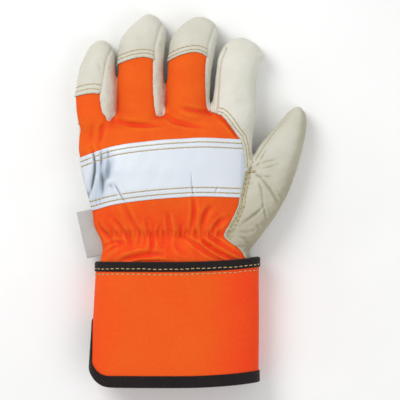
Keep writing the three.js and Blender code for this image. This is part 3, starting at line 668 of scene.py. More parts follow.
def set_borders(skin):
    """Each panel's field, which is under 0 on it, with the moves of BORDER_SHIFTS and of the fingertips' hems."""
    away = {name: skin.relaxed(skin.distance[name], 8) for name in HAND}
    for row in BORDER_SHIFTS:
        near = bump(np.hypot(skin.rest[:, 0] - row.x, skin.rest[:, 1] - row.y), row.radius)
        away[BACK] = away[BACK] + row.amount * near * (skin.rest[:, 2] > 4)

    def beyond(names, left_out=()):
        others = [away[other] for other in HAND if other not in names and other not in left_out]
        return np.min([away[name] for name in names], axis=0) - np.min(others, axis=0)

    skin.field = {name: beyond([name]) for name in HAND}
    skin.hem = {name: away[BACK] - away[name] - hem.shift for name, hem in HEMS.items()}
    for name in TIPS:
        moved = np.maximum(beyond([name], [BACK]), -skin.hem[name])
        skin.field[name] = np.where(skin.distance[BACK] < 10, moved, skin.field[name])
    skin.off_fronts = -np.min([skin.field[name] for name in FRONTS], axis=0)
    # The index finger's panel and the thumb's meet in one wing along the back, and are sewn as one.
    skin.off_wing = beyond(WING)


def edge_line(name, side):
    """The upper or lower edge of a flat band node from above, as a function of X, smoothed."""
    points = node_points(name)[:, :2]
    pairs = np.array([e.vertices[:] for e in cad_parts[name].data.edges])
    a, b = points[pairs[:, 0]], points[pairs[:, 1]]
    xs = np.linspace(points[:, 0].min() + TAPE_INSET[0], points[:, 0].max() - TAPE_INSET[1], 50)
    line = []
    for x in xs:
        crossing = (a[:, 0] - x) * (b[:, 0] - x) <= 0
        p, q = a[crossing], b[crossing]
        part = (x - p[:, 0]) / np.where(np.abs(q[:, 0] - p[:, 0]) < 1e-9, 1e-9, q[:, 0] - p[:, 0])
        line.append(side(p[:, 1] + part * (q[:, 1] - p[:, 1])))
    line = softened(np.array(line), 6)
    # Both ends run on straight, because the band's own ends aren't edges of the tape.
    first = (line[5] - line[0]) / (xs[5] - xs[0])
    last = (line[-1] - line[-6]) / (xs[-1] - xs[-6])
    xs = np.concatenate([[xs[0] - TAPE_RUN], xs, [xs[-1] + TAPE_RUN]])
    return xs, np.concatenate([[line[0] - first * TAPE_RUN], line, [line[-1] + last * TAPE_RUN]])


@lru_cache(maxsize=None)
def tape_lines():
    return edge_line("reflective_tape", np.min), edge_line("reflective_tape", np.max)


def tape_field(points):
    """Under 0 on the tape's band, growing outwards from its two edges."""
    (xs, low), (xt, high) = tape_lines()
    x, y = points[:, 0], points[:, 1]
    lean = 1 / np.sqrt(1 + np.interp(x, xt, np.gradient(high, xt)) ** 2)
    return np.maximum(y - np.interp(x, xt, high), np.interp(x, xs, low) - y) * lean


def skin_shape(skin):
    """The skin's points with their folds, gathers, creases and seams."""
    rest, look = skin.rest, settings("skin")
    x, y, z = rest.T
    normal = skin.normals(rest)
    top = smoothstep(normal[:, 2], 0.0, 0.45)
    cotton = smoothstep(-skin.field[BACK], -1.5, 1.5)
    leather = 1 - cotton
    height = cotton * top * creased(rest, GATHERS, look.gather)
    height += cotton * top * creased(rest, KNUCKLES + TAPE_FOLDS, look.fold)
    height += leather * top * creased(rest, LEATHER_CREASES, look.wrinkle)
    # The elastic draws the wrist in along a line, with small puckers on it and wider gathers beyond it.
    off = y - ELASTIC_Y + 0.4 * lumps(rest, 20, 12)
    across = x + 1.1 * lumps(rest, 9, 9)
    uneven = 0.65 + 0.35 * lumps(rest, 8, 10)
    puckers = np.cos(across * 2 * math.pi / PUCKER) * bump(off, 2.1) * 0.36
    gathers = np.cos((across + 1.5 * lumps(rest, 14, 13)) * 2 * math.pi / GATHER) * bump(off + 1.5, 7.5) * 0.34
    channel = 0.25 * bump(np.abs(off) - 4.2, 2.2)
    reach = smoothstep(x, -47, -40) * smoothstep(x, 44, 39)
    height += cotton * top * reach * look.gather * ((puckers + gathers) * uneven + channel)
    height += cotton * (0.35 * lumps(rest, 17, 3) + 0.12 * lumps(rest, 7, 4))
    height += leather * (0.3 * lumps(rest, 15, 6) + 0.1 * lumps(rest, 5, 7))
    # Leather wrinkles finely across the side strips of the fingers and over the lower thumb.
    strips = skin.nearest(FRONTS) < ON_PANEL
    ridged = 1 - np.abs(lumps(rest * np.array([0.55, 1.5, 1]), 4.2, 8)) * 2
    thumb = (skin.distance["thumb"] < ON_PANEL) * smoothstep(-y, -45, 5)
    height += skin.relaxed((strips * 0.16 + thumb * 0.2) * ridged, 1)
    # The seam of the index finger's side stands between two low rolls.
    seam = line_distance(rest[:, :2], np.array(INDEX_SEAM))[0]
    on_index = (skin.distance["index_finger"] < 2) * top
    height += on_index * (0.45 * bump(seam - 1.9, 1.3) - 1.0 * bump(seam, 0.9))
    # Inside the cuff the wrist is drawn in, clear of the canvas.
    inside = smoothstep(-y, *DRAWN_IN)
    height = height * (1 - inside) - 0.9 * inside
    floor = smoothstep(z, 0.6, 5)
    points = rest + normal * (height * floor)[:, None]
    tucked = smoothstep(-y, *TUCKED)
    for row in SWELLS:
        away = np.hypot((x - row.x) / 1.6, y - row.y)
        points[:, 0] += row.amount * bump(away, row.radius) * (1 - tucked) * smoothstep(z, 2, 8)
    on_tip = (skin.distance["index_finger"] < ON_PANEL) * floor
    corner = np.hypot(x - INDEX_CORNER.x, y - INDEX_CORNER.y)
    points[:, 0] += INDEX_CORNER.amount * bump(corner, INDEX_CORNER.radius) * on_tip
    return grounded(points)


def turned_valley(skin, name):
    """How far a panel rolls in at its turned seams."""
    if name == BACK:
        turned = ["palm", *FRONTS]
    else:
        turned = [other for other in LEATHER if other != name] + [BACK] * (name in ("palm", *FRONTS))
    return 0.75 * bump(skin.relaxed(skin.nearest(turned), 2), 1.5)


def linked(name, mesh, material):
    """The finished object of a mesh, smooth, with its material, on the body root."""
    mesh.polygons.foreach_set("use_smooth", [True] * len(mesh.polygons))
    piece = bpy.data.objects.new(name, mesh)
    bpy.context.scene.collection.objects.link(piece)
    mesh.materials.append(material)
    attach(piece, "root")
    return piece


def walled(name, mesh, material, node_name, thickness):
    """The finished object of a sheet in place of its CAD node, with a wall of that thickness under its face."""
    piece = linked(name, mesh, material)
    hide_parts(node_name)
    wall = piece.modifiers.new("Thickness", "SOLIDIFY")
    wall.thickness = thickness
    wall.offset = -1
    wall.use_rim = True
    return piece


def cut_panel(name, points, quads, level, values, rounding=0.3):
    """The mesh of the part of a surface where level is under 0. Its edge follows level 0, and is rounded off."""
    keep = (level < 4)[quads].all(axis=1) & (level < 0)[quads].any(axis=1)
    used, index = np.unique(quads[keep], return_inverse=True)
    mesh = bpy.data.meshes.new(name)
    mesh.from_pydata((points[used] / MM).tolist(), [], index.reshape(-1, 4).tolist())
    bm = bmesh.new()
    bm.from_mesh(mesh)
    values = {"level": level, **values}
    layers = {key: bm.verts.layers.float.new(key) for key in values}
    for key, layer in layers.items():
        for vert, value in zip(bm.verts, values[key][used].tolist()):
            vert[layer] = value
    depth = layers["level"]
    cuts = []
    for edge in [e for e in bm.edges if (e.verts[0][depth] < 0) != (e.verts[1][depth] < 0)]:
        a, b = edge.verts
        part = a[depth] / (a[depth] - b[depth])
        cut = bmesh.utils.edge_split(edge, a, min(max(part, 0.01), 0.99))[1]
        cut[depth] = 0
        cuts.append(cut)
    bmesh.ops.connect_verts(bm, verts=cuts)
    bmesh.ops.delete(bm, geom=[v for v in bm.verts if v[depth] > 0], context="VERTS")
    bmesh.ops.remove_doubles(bm, verts=[v for v in bm.verts if v.is_boundary], dist=0.15 / MM)
    rim = [v for v in bm.verts if v.is_boundary]
    for _ in range(3):
        beside = {v: [e.other_vert(v).co.copy() for e in v.link_edges if e.is_boundary] for v in rim}
        for vert, ends in beside.items():
            if len(ends) == 2:
                vert.co = vert.co * 0.5 + (ends[0] + ends[1]) * 0.25
    bm.normal_update()
    for vert in rim:
        vert.co -= vert.normal * rounding / MM
    bm.verts.layers.float.remove(bm.verts.layers.float["level"])
    bm.to_mesh(mesh)
    bm.free()
    return mesh


# Materials.


def node(tree, kind, inputs=None, **properties):
    """Adds a shader node, sets its properties, and sets or links its inputs."""
    made = tree.nodes.new("ShaderNode" + kind)
    for key, value in properties.items():
        setattr(made, key, value)
    for key, value in (inputs or {}).items():
        if isinstance(value, bpy.types.NodeSocket):
            tree.links.new(value, made.inputs[key])
        else:
            made.inputs[key].default_value = value
    return made


class Paint:
    """A procedural material in the making: its node tree, its place in space and its colour so far."""

    def __init__(self, name, colour):
        self.material = bpy.data.materials.new(name)
        self.material.use_nodes = True
        self.tree = self.material.node_tree
        self.tree.nodes.clear()
        self.place = node(self.tree, "TexCoord").outputs["Object"]
        self.colour = colour[:]

    def over(self, factor, colour):
        """Lays a colour over the one so far, where the factor is high."""
        mix = node(self.tree, "Mix", {0: factor, 6: self.colour, 7: colour[:]}, data_type="RGBA")
        self.colour = mix.outputs[2]

    def noise(self, size, detail=2.0, roughness=0.5):
        """Noise with lumps of about that size in millimetres, from 0 to 1."""
        inputs = {"Vector": self.place, "Scale": MM / size, "Detail": detail, "Roughness": roughness}
        return node(self.tree, "TexNoise", inputs).outputs["Fac"]

    def ranged(self, value, low, high, to_high=1.0, to_low=0.0):
        inputs = {"Value": value, "From Min": low, "From Max": high, "To Min": to_low, "To Max": to_high}
        return node(self.tree, "MapRange", inputs).outputs[0]

    def maths(self, operation, a, b=0.0):
        return node(self.tree, "Math", {0: a, 1: b}, operation=operation).outputs[0]

    def sum(self, a, b, share=1.0):
        """A share of a, and b."""
        return self.maths("ADD", self.maths("MULTIPLY", a, share), b)

    def attribute(self, name):
        return node(self.tree, "Attribute", attribute_name=name).outputs["Fac"]

    def turned(self, degrees, scale=(1, 1, 1)):
        inputs = {"Vector": self.place, "Rotation": (0, 0, math.radians(degrees)), "Scale": scale}
        return node(self.tree, "Mapping", inputs).outputs[0]

    def ribs(self, pitch, degrees=0.0):
        """Parallel ribs that far apart in millimetres, across a turned X, from 0 to 1."""
        inputs = {"Vector": self.turned(degrees), "Scale": MM / pitch * WAVE_BAND, "Distortion": 0.6}
        inputs.update({"Detail": 1.0, "Detail Scale": 2.0})
        return node(self.tree, "TexWave", inputs, bands_direction="X").outputs["Fac"]

    def weave(self, pitch, degrees):
        return self.sum(self.ribs(pitch, degrees), self.ribs(pitch, degrees + 90))

    def finished(self, roughness, height, depth, **surface):
        """The material with its shader: colour, roughness and bump, whose depth is in millimetres."""
        raised = node(self.tree, "Bump", {"Height": height, "Distance": depth / MM, "Strength": 1.0})
        inputs = {"Base Color": self.colour, "Roughness": roughness, "Normal": raised.outputs[0]}
        inputs.update({key.replace("_", " "): value for key, value in surface.items()})
        shader = node(self.tree, "BsdfPrincipled", inputs)
        node(self.tree, "OutputMaterial", {"Surface": shader.outputs[0]})
        return self.material


@lru_cache(maxsize=None)
def leather_material():
    """Grain cowhide, drum-dyed off-white and matt: fine pebbles, soft broad gloss, and painted shade in the creases.
    """
    look = settings("leather")
    paint = Paint("grain_leather", look.face)
    cloud, fine = paint.noise(22, 3), paint.noise(3.5, 4, 0.6)
    # Painted shade: the shade colour is laid over the creases and hollows, with a cloudy mottle, and where the
    # panels are darker or turned from the light.
    crease_shade_and_mottle = paint.sum(paint.ranged(paint.attribute("fold"), 0.1, 0.9, 0.6), paint.ranged(cloud, 0.35, 0.75, 0.2))
    paint.over(paint.sum(crease_shade_and_mottle, paint.attribute("darkening_and_shade")), look.shade)
    paint.over(paint.ranged(fine, 0.3, 0.7, 0.1), linear("#C9C4AE"))
    paint.over(paint.attribute("edge"), look.edge)
    # Pebbles of about 1 mm are too fine for the picture, so they are drawn at 1.7 mm.
    inputs = {"Vector": paint.place, "Scale": MM / 1.7, "Randomness": 1.0}
    pebble = node(paint.tree, "TexVoronoi", inputs, feature="SMOOTH_F1").outputs["Distance"]
    # Fine crumples run slantwise over the thumb and the palm.
    inputs = {"Vector": paint.turned(-35, (0.45, 1, 1)), "Scale": MM / 5.5, "Detail": 3.0, "Roughness": 0.5}
    inputs["Distortion"] = 0.7
    crumple = node(paint.tree, "TexNoise", inputs, noise_type="RIDGED_MULTIFRACTAL").outputs["Fac"]
    crumple = paint.maths("MULTIPLY", crumple, paint.attribute("crumple"))
    grain = paint.sum(crumple, paint.sum(pebble, fine, 0.6), 1.1)
    rough = paint.ranged(fine, 0.2, 0.8, 0.68, 0.52)
    return paint.finished(rough, grain, 0.3, Specular_IOR_Level=0.4, Sheen_Weight=0.05, Sheen_Roughness=0.5)


@lru_cache(maxsize=None)
def cotton_material():
    """Fluorescent orange cotton, woven and matt: a faint weave, painted shade that turns its folds red rather than
    grey, and a painted highlight on its ridges.
    """
    look = settings("back")
    paint = Paint("orange_cotton", look.face)
    fold, fibre = paint.attribute("fold"), paint.noise(1.1, 2, 0.7)
    # Painted shade in part: redder towards the wrist and on the sides turned from the light.
    paint.over(paint.attribute("redness_and_shade"), look.wrist)
    # Painted shade in the folds, and a painted highlight on the ridges.
    paint.over(paint.ranged(fold, 0.02, 0.7, 0.75), look.valley)
    paint.over(paint.ranged(fold, -0.05, -0.7, 0.5), look.ridge)
    paint.over(paint.ranged(paint.noise(16, 3), 0.35, 0.75, 0.3), linear("#F46F20"))
    paint.over(paint.ranged(fibre, 0.3, 0.7, 0.16), linear("#F98432"))
    # Threads lie 0.5 mm apart, and are drawn 2.6 mm apart.
    return paint.finished(0.9, paint.sum(paint.weave(2.6, 50), fibre, 0.35), 0.1, Specular_IOR_Level=0.08)


@lru_cache(maxsize=None)
def tape_material():
    """Reflective tape: glass beads on a silver coat, which look pale and even, with painted shade that greys its
    folds and creases.
    """
    look = settings("tape")
    paint = Paint("reflective_tape", look.face)
    cloud, beads = paint.noise(26, 3), paint.noise(0.9, 1, 0.5)
    # Painted shade: the tape greys in the folds of TAPE_TINTS and in the skin's hollows.
    grey = paint.sum(paint.attribute("tape_shade"), paint.ranged(paint.attribute("fold"), 0.2, 1.0, 0.34))
    paint.over(paint.ranged(cloud, 0.35, 0.7, 0.3), linear("#D2DAE6"))
    paint.over(paint.ranged(beads, 0.35, 0.65, 0.12), linear("#F4F8FC"))
    paint.over(paint.ranged(grey, 0.0, 0.55, 0.8), look.shade)
    paint.over(paint.ranged(grey, 0.4, 1.0), look.crease)
    paint.over(paint.maths("MULTIPLY", paint.attribute("edge"), 0.25), linear("#AEBBC8"))
    rough = paint.ranged(cloud, 0.3, 0.7, 0.55, 0.42)
    return paint.finished(rough, beads, 0.04, Metallic=0.1, Specular_IOR_Level=0.5)


@lru_cache(maxsize=None)
def canvas_material():
    """Duck canvas with a rubber coat: an even orange, a low plain weave, and more gloss than the cotton."""
    look = settings("cuff")
    paint = Paint("orange_canvas", look.face)
    fleck = paint.noise(1.4, 2, 0.7)
    # Painted shade on the side turned from the light.
    paint.over(paint.attribute("redness_and_shade"), look.shade)
    paint.over(paint.ranged(paint.noise(40, 3), 0.3, 0.7, 0.25), linear("#F2691F"))
    paint.over(paint.ranged(fleck, 0.35, 0.7, 0.14), linear("#F8853A"))
    # Canvas threads lie 0.8 mm apart, and are drawn 3 mm apart.
    return paint.finished(0.66, paint.sum(paint.weave(3.0, 2), fleck, 0.3), 0.08, Specular_IOR_Level=0.08)


@lru_cache(maxsize=None)
def binding_material():
    """Woven black binding tape: matt, ribbed aslant, with grey fluff on its high threads."""
    paint = Paint("black_binding", settings("cuff").bound)
    fluff = paint.noise(1.2, 3, 0.7)
    paint.over(paint.ranged(fluff, 0.5, 0.8, 0.5), linear("#4A3C3C"))
    paint.over(paint.ranged(paint.noise(12), 0.3, 0.7, 0.4), linear("#150F10"))
    height = paint.sum(paint.ribs(2.4, 45), fluff)
    return paint.finished(0.88, height, 0.18, Specular_IOR_Level=0.2, Sheen_Weight=0.08)


@lru_cache(maxsize=None)
def satin_material():
    """Woven polyester satin: pale grey with a soft lengthways gloss."""
    paint = Paint("grey_satin", settings("cuff").label)
    paint.over(paint.ranged(paint.noise(9), 0.3, 0.7, 0.4), linear("#A9A8A3"))
    return paint.finished(0.42, paint.ribs(1.8, 13), 0.015, IOR=1.5, Anisotropic=0.4)


@lru_cache(maxsize=None)
def thread_material():
    """Tan polyester sewing thread: a twisted ply, with painted shade at its ends, where it dips into its hole."""
    look = settings("stitch")
    paint = Paint("tan_thread", look.face)
    middle = paint.maths("ABSOLUTE", paint.maths("SUBTRACT", paint.attribute("along"), 0.5))
    paint.over(paint.ranged(paint.attribute("tone"), 0.0, 1.0, 0.35), linear("#AD965E"))
    paint.over(paint.ranged(paint.noise(2.2), 0.35, 0.7, 0.3), linear("#DCCBA0"))
    # Painted shade at both ends of each stitch.
    paint.over(paint.ranged(middle, 0.3, 0.45), look.end)
    return paint.finished(0.55, paint.ribs(1.0, 35), 0.06, IOR=1.5, Sheen_Weight=0.15, Sheen_Roughness=0.4)


# Panels of the hand.


def leather_values(skin, name):
    """Attributes that the leather's material reads."""
    # Whole panels are laid darker: the tips most, then the palm and the fronts, and the index finger least.
    base = 0.04 + (0.22 if name in TIPS else 0.0 if name == "index_finger" else 0.14)
    darkening_and_shade = np.full(len(skin.rest), base)
    if name == "thumb":
        # The thumb is laid darker towards the cuff, and painted shade darkens its side that turns from the light,
        # towards +X.
        darkening_and_shade = 0.34 + 0.42 * smoothstep(-skin.rest[:, 1], -22, 30) + 0.45 * smoothstep(skin.normal[:, 0], 0.3, 0.9)
    crumple = np.full(len(darkening_and_shade), 0.8 if name in ("thumb", "palm") else 0.25)
    edge = smoothstep(-skin.hem[name], -0.8, -0.1) if name in HEMS else np.zeros(len(darkening_and_shade))
    return {"fold": skin.fold, "edge": edge, "darkening_and_shade": darkening_and_shade, "crumple": crumple}


def lifted(skin, name):
    """The skin's points as a leather panel stands off it: it laps over the cotton, dips at its stitch rows and
    rolls in at its turned seams."""
    lift = 0.12 - turned_valley(skin, name)
    if name in HEMS:
        hem = skin.hem[name]
        lift = lift + settings("leather").lap_rise * MM * bump(np.maximum(hem, 0), 5)
        rows = np.minimum(np.abs(hem - HEMS[name].first), np.abs(hem - HEMS[name].second))
        lift = lift - 0.22 * bump(rows, 0.9) * smoothstep(skin.rest[:, 2], 8, 14)
    return skin.points + skin.normal * lift[:, None]


def make_leather(name):
    """A leather panel cut from the skin, with a slightly uneven hem where it laps over the cotton."""
    skin, cut = hand_skin(), LEATHER_CUTS[name]
    level = np.maximum(skin.field[name] - SEAM_LAP, WRIST_END - skin.rest[:, 1])
    if name in HEMS:
        level = level + 0.25 * lumps(skin.rest, 1.9, 11) * bump(skin.hem[name], 3)
    points = grounded(lifted(skin, name))
    mesh = cut_panel(name + "_leather", points, skin.quads, level, leather_values(skin, name))
    wall = settings("leather").thickness
    piece = walled(name + "_leather", mesh, leather_material(), name, wall)


def back_level(skin):
    """Under 0 on the cotton back, which runs on under the lapped leather."""
    under = skin.relaxed(smoothstep(skin.nearest(["palm", *FRONTS]) - skin.nearest(HEMS), -1.0, 1.6), 3)
    at_tip = smoothstep(skin.nearest(TIPS), 9, 4)
    level = skin.field[BACK] - SEAM_LAP - under * (settings("back").underlap * MM + 2.6 * at_tip)
    for name in TIPS:
        near = (skin.distance[name] < 3) & (skin.distance[BACK] < 8)
        under_tip = np.maximum(skin.hem[name] - 2.5, skin.off_fronts)
        level = np.where(near, np.minimum(level, under_tip), level)
    return level


def cotton_redness_and_shade(skin):
    """Where the cotton is laid redder: the gathered wrist, and painted shade on the sides that turn from the light.
    """
    x, y, _ = skin.rest.T
    wrist = 0.8 * smoothstep(-y, -2, 26)
    # Painted shade: the sides whose normals turn to +X, away from the key light, are laid redder.
    turned = 0.5 * smoothstep(skin.normal[:, 0], 0.2, 0.8)
    outer = 0.35 * smoothstep(-x, 38, 50) * smoothstep(y, 40, 60)
    knuckles = 0.2 * bump(y - 42, 12)
    return np.clip(wrist + turned + outer - knuckles + 0.12 * lumps(skin.rest, 14, 31), -0.3, 1)


class GLOVE_OT_leather(bpy.types.Operator):
    """Make the palm, thumb and index finger of grain leather"""

    bl_idname = "glove.leather"
    bl_label = "Leather palm, thumb and index finger"

    def execute(self, context):
        for name in ("palm", "thumb", "index_finger"):
            make_leather(name)
        return {"FINISHED"}


class GLOVE_OT_fingers(bpy.types.Operator):
    """Make the leather fronts and tips of the other three fingers"""

    bl_idname = "glove.fingers"
    bl_label = "Leather fingers and tips"

    def execute(self, context):
        for name in (*FRONTS, *TIPS):
            make_leather(name)
        return {"FINISHED"}


class GLOVE_OT_back(bpy.types.Operator):
    """Make the hi-vis cotton back with its gathered wrist"""

    bl_idname = "glove.back"
    bl_label = "Cotton back"

    def execute(self, context):
        skin = hand_skin()
        level = np.maximum(back_level(skin), WRIST_END - skin.rest[:, 1])
        points = skin.points - skin.normal * turned_valley(skin, BACK)[:, None]
        values = {"fold": skin.fold, "redness_and_shade": cotton_redness_and_shade(skin)}
        mesh = cut_panel("cotton_back", points, skin.quads, level, values)
        wall = settings("back").thickness
        piece = walled("cotton_back", mesh, cotton_material(), BACK, wall)
        return {"FINISHED"}


class GLOVE_OT_tape(bpy.types.Operator):
    """Make the reflective tape across the back"""

    bl_idname = "glove.tape"
    bl_label = "Reflective tape"

    def execute(self, context):
        skin, wall = hand_skin(), settings("tape").thickness
        band = tape_field(skin.rest)
        level = np.maximum(band, back_level(skin) + 0.2)
        level[skin.rest[:, 2] < 5] = 5
        rows = np.minimum(*(np.abs(band + gap) for gap in TAPE_ROWS))
        lift = wall * MM + TAPE_CLEARANCE - turned_valley(skin, BACK) - TAPE_DIP * bump(rows, 0.8)
        points = skin.points + skin.normal * lift[:, None]
        # Painted shade of the tape's folds, laid grey from TAPE_TINTS.
        tape_shade = np.clip(-creased(skin.rest, TAPE_TINTS, 1.0), 0, 1)
        values = {"fold": skin.fold, "tape_shade": tape_shade, "edge": smoothstep(level, -0.7, -0.1)}
        mesh = cut_panel("silver_tape", points, skin.quads, level, values, 0.1)
        piece = walled("silver_tape", mesh, tape_material(), "reflective_tape", wall)
        return {"FINISHED"}


# The cuff: a tube whose sections are measured on its CAD node, and whose flat pattern runs once round it.


class CuffPattern:
    """Maps the cuff's flat pattern onto its tube. Round is millimetres round the tube from the split, over the
    back and home under the palm. Down is millimetres from the upper edge."""

    def __init__(self):
        points = node_points("cuff")
        low, high = points.min(axis=0), points.max(axis=0)
        # The points of its two edges, and further down those of its split.
        upper = points[points[:, 1] > high[1] - 5]
        lower = points[points[:, 1] < low[1] + 5]
        self.top_edge = upper[:, 1].min()
        self.rise = high[1] - self.top_edge
        self.length = self.top_edge - low[1] + EASE.lower
        self.sections = [np.array([p[:, 0].min(), p[:, 0].max(), low[2], high[2]]) for p in (upper, lower)]
        self.sections[1][0] = low[0]
        for section in self.sections:
            section[:2] += [-EASE.left, EASE.right]
        level = low[2] + WAIST * (high[2] - low[2])
        beside = points[(points[:, 1] < high[1] - 8) & (points[:, 1] > low[1] + 20) & (points[:, 0] < low[0] + 20)]
        self.split_end = self.top_edge - beside[:, 1].max() + SPLIT_DROP
        self.split_half = np.abs(beside[:, 2] - level).max()
        self.angle_at = np.linspace(-math.pi / 2, 1.5 * math.pi, 1441)
        middle = (self.sections[0] + self.sections[1]) / 2
        ring = self.section(np.tile(middle, (len(self.angle_at), 1)), self.angle_at)
        self.round_at = reach_of(np.stack(ring, axis=1))
        self.round = self.round_at[-1]

    def section(self, sizes, angle):
        left, right, bottom, top = sizes.T
        waist = bottom + WAIST * (top - bottom)
        side, up = np.sin(angle), np.cos(angle)
        square = np.where(up > 0, BACK_SQUARENESS, UNDERSIDE_SQUARENESS)
        across, rise = (np.sign(way) * np.abs(way) ** (2 / square) for way in (side, up))
        z = waist + np.where(up > 0, (top - waist) * rise, (waist - bottom) * PRESS * rise)
        return (left + right) / 2 + (right - left) / 2 * across, np.maximum(z, bottom)

    def surface(self, around, down):
        around, down = np.broadcast_arrays(np.asarray(around, float), np.asarray(down, float))
        shape = around.shape
        around, down = around.ravel(), down.ravel()
        angle = np.interp((around - SPLIT_SHIFT) % self.round, self.round_at, self.angle_at)
        part = (down / self.length)[:, None]
        x, z = self.section(self.sections[0] * (1 - part) + self.sections[1] * part, angle)
        middle = self.sections[0][:2].mean()
        reach = self.sections[0][1] - middle
        y = self.top_edge - down + self.rise * (np.maximum(x - middle, 0) / reach) ** 2
        return np.stack([x, y, z], axis=-1).reshape(*shape, 3)

    def run(self, around, down, step=1.5):
        return self.surface(around + step, down) - self.surface(around - step, down)

    def normal(self, around, down, step=1.5):
        fall = self.surface(around, down + step) - self.surface(around, down - step)
        return unit(np.cross(fall, self.run(around, down)))

    def point(self, around, down, lift=0.0):
        """A point of the tube, lifted off its outer face, with the canvas's slow waves."""
        base = self.surface(around, down)
        flat = base.reshape(-1, 3)
        wave = (0.35 * lumps(flat, 30, 21) * smoothstep(flat[:, 2], 1, 10)).reshape(base.shape[:-1])
        return base + self.normal(around, down) * (lift + wave)[..., None]

    def edge_path(self):
        """The lower edge: out of the split, round the corner, along the bottom and home. Rows of round, down."""
        radius, half = settings("cuff").corner * MM, self.split_half
        turn = np.linspace(0, math.pi / 2, 8)
        start = np.stack([half * np.sin(turn), self.split_end + half - half * np.cos(turn)], axis=1)
        arc = np.linspace(math.pi, 1.5 * math.pi, 14)
        tall = radius * CORNER_TALLNESS
        wanted_x = self.sections[1][0] + radius + radius * np.cos(arc)
        fine = np.linspace(SPLIT_SHIFT, self.round * 0.25, 800)
        corner = []
        for x, down in zip(wanted_x, self.length - tall - tall * np.sin(arc)):
            xs = self.surface(fine, np.full(len(fine), down))[:, 0]
            corner.append([max(np.interp(x, xs, fine), half), down])
        side = np.linspace(start[-1], corner[0], 24)[1:-1]
        upper = np.array([*start, *side, *corner])
        mirrored = upper[::-1] * [-1, 1] + [self.round, 0]
        bottom = np.linspace(upper[-1], mirrored[0], 140)[1:-1]
        path = np.concatenate([upper, bottom, mirrored])
        reach = reach_of(path)
        even = spots_at(path, reach, np.linspace(0, reach[-1], int(reach[-1] / CUFF_STEP)))
        return softened(even, 8)[:-1]


@lru_cache(maxsize=None)
def cuff_pattern():
    return CuffPattern()


def grid_mesh(name, places):
    """A grid of quads whose points are moved to the given places, rows by columns, and closed where they meet."""
    rows, columns = places.shape[:2]
    bm = bmesh.new()
    bmesh.ops.create_grid(bm, x_segments=columns - 1, y_segments=rows - 1, size=0.5)
    for vert, place in zip(bm.verts, places.reshape(-1, 3) / MM):
        vert.co = place
    bmesh.ops.remove_doubles(bm, verts=bm.verts, dist=1e-6)
    return mesh_of(bm, name)


class GLOVE_OT_cuff(bpy.types.Operator):
    """Make the rubberised canvas cuff, split beside the little finger"""

    bl_idname = "glove.cuff"
    bl_label = "Canvas cuff"

    def execute(self, context):
        pattern, wall = cuff_pattern(), settings("cuff").thickness
        columns, rows = int(pattern.round / CUFF_STEP), int((pattern.length + 6) / CUFF_STEP)
        around, down = np.meshgrid(
            np.linspace(0, pattern.round, columns, endpoint=False), np.linspace(0, pattern.length + 3, rows)
        )
        # The edge is met again a whole round on, at both ends of the pattern.
        path, home = pattern.edge_path(), [pattern.round, 0]
        path = np.concatenate([path[-3:] - home, path, path[:3] + home])
        away, _, side = line_distance(np.stack([around.ravel(), down.ravel()], axis=1), path)
        ends = np.minimum(around, pattern.round - around)
        above = -np.minimum(10, np.hypot(ends, pattern.split_end - down))
        level = np.where(down > pattern.split_end - 4, (away * side).reshape(down.shape), above)
        points = pattern.point(around, down).reshape(-1, 3)
        corner = np.arange(rows * columns).reshape(rows, columns)
        after = np.roll(corner, -1, axis=1)
        quads = np.stack([corner[:-1], after[:-1], after[1:], corner[1:]], axis=-1).reshape(-1, 4)
        # Painted shade: the canvas is laid redder towards its right side, which turns from the light, and a little
        # redder towards its left.
        redness_and_shade = 0.12 + 0.75 * smoothstep(points[:, 0], 22, 66) + 0.25 * smoothstep(points[:, 0], -30, -52)
        values = {"redness_and_shade": redness_and_shade + 0.12 * lumps(points, 22, 33)}
        mesh = cut_panel("canvas_cuff", points, quads, level.ravel(), values, 0.1)
        bm = bmesh.new()
        bm.from_mesh(mesh)
        bmesh.ops.recalc_face_normals(bm, faces=bm.faces)
        bm.to_mesh(mesh)
        bm.free()
        piece = walled("canvas_cuff", mesh, canvas_material(), "cuff", wall)
        return {"FINISHED"}


def binding(name, path, width, node_name, closed_width):
    """A binding folded over an edge path of the pattern, as a closed pill swept along it."""
    pattern, look = cuff_pattern(), settings("cuff")
    out, wall = look.binding * MM, look.thickness * MM
    run = np.roll(path, -1, axis=0) - np.roll(path, 1, axis=0)
    run[:, 0] = (run[:, 0] + pattern.round / 2) % pattern.round - pattern.round / 2
    run = unit(run)
    inward = np.stack([run[:, 1], -run[:, 0]], axis=1)
    # The tape can't turn as sharply as the edge does, so its inner side cuts the corner a little.
    reach_in = inward * width[:, None]
    for _ in range(26):
        reach_in = (np.roll(reach_in, 1, axis=0) + 2 * reach_in + np.roll(reach_in, -1, axis=0)) / 4
    # Stations round the fold: the share of the way in, the way out past the edge, and the lift off the canvas.
    outer = [(1, 0, out * 0.7), (0.93, 0, out), (0.66, 0, out * 0.86), (0.33, 0, out)]
    fold = [
        (0, -out * 1.2 * math.sin(turn), (wall / 2 + out) * math.cos(turn) - wall / 2)
        for turn in np.linspace(0, math.pi, 9)
    ]
    inner = [(part, 0, -wall - out) for part in (0.33, 0.66, 1)]
    grid = []
    for part, shift, lift in outer + fold + inner:
        spot = path + reach_in * part + inward * shift
        grid.append(pattern.point(spot[:, 0], spot[:, 1], lift))
    grid = np.array(grid)
    grid = grounded(np.concatenate([grid, grid[:, :1]], axis=1))
    mesh = grid_mesh(name, grid[::-1])
    piece = walled(name, mesh, binding_material(), node_name, look.binding * 0.9)
    steps = np.linalg.norm(np.diff(np.concatenate([path, path[:1]]), axis=0), axis=1)
    run_length = steps[steps < 20].sum()


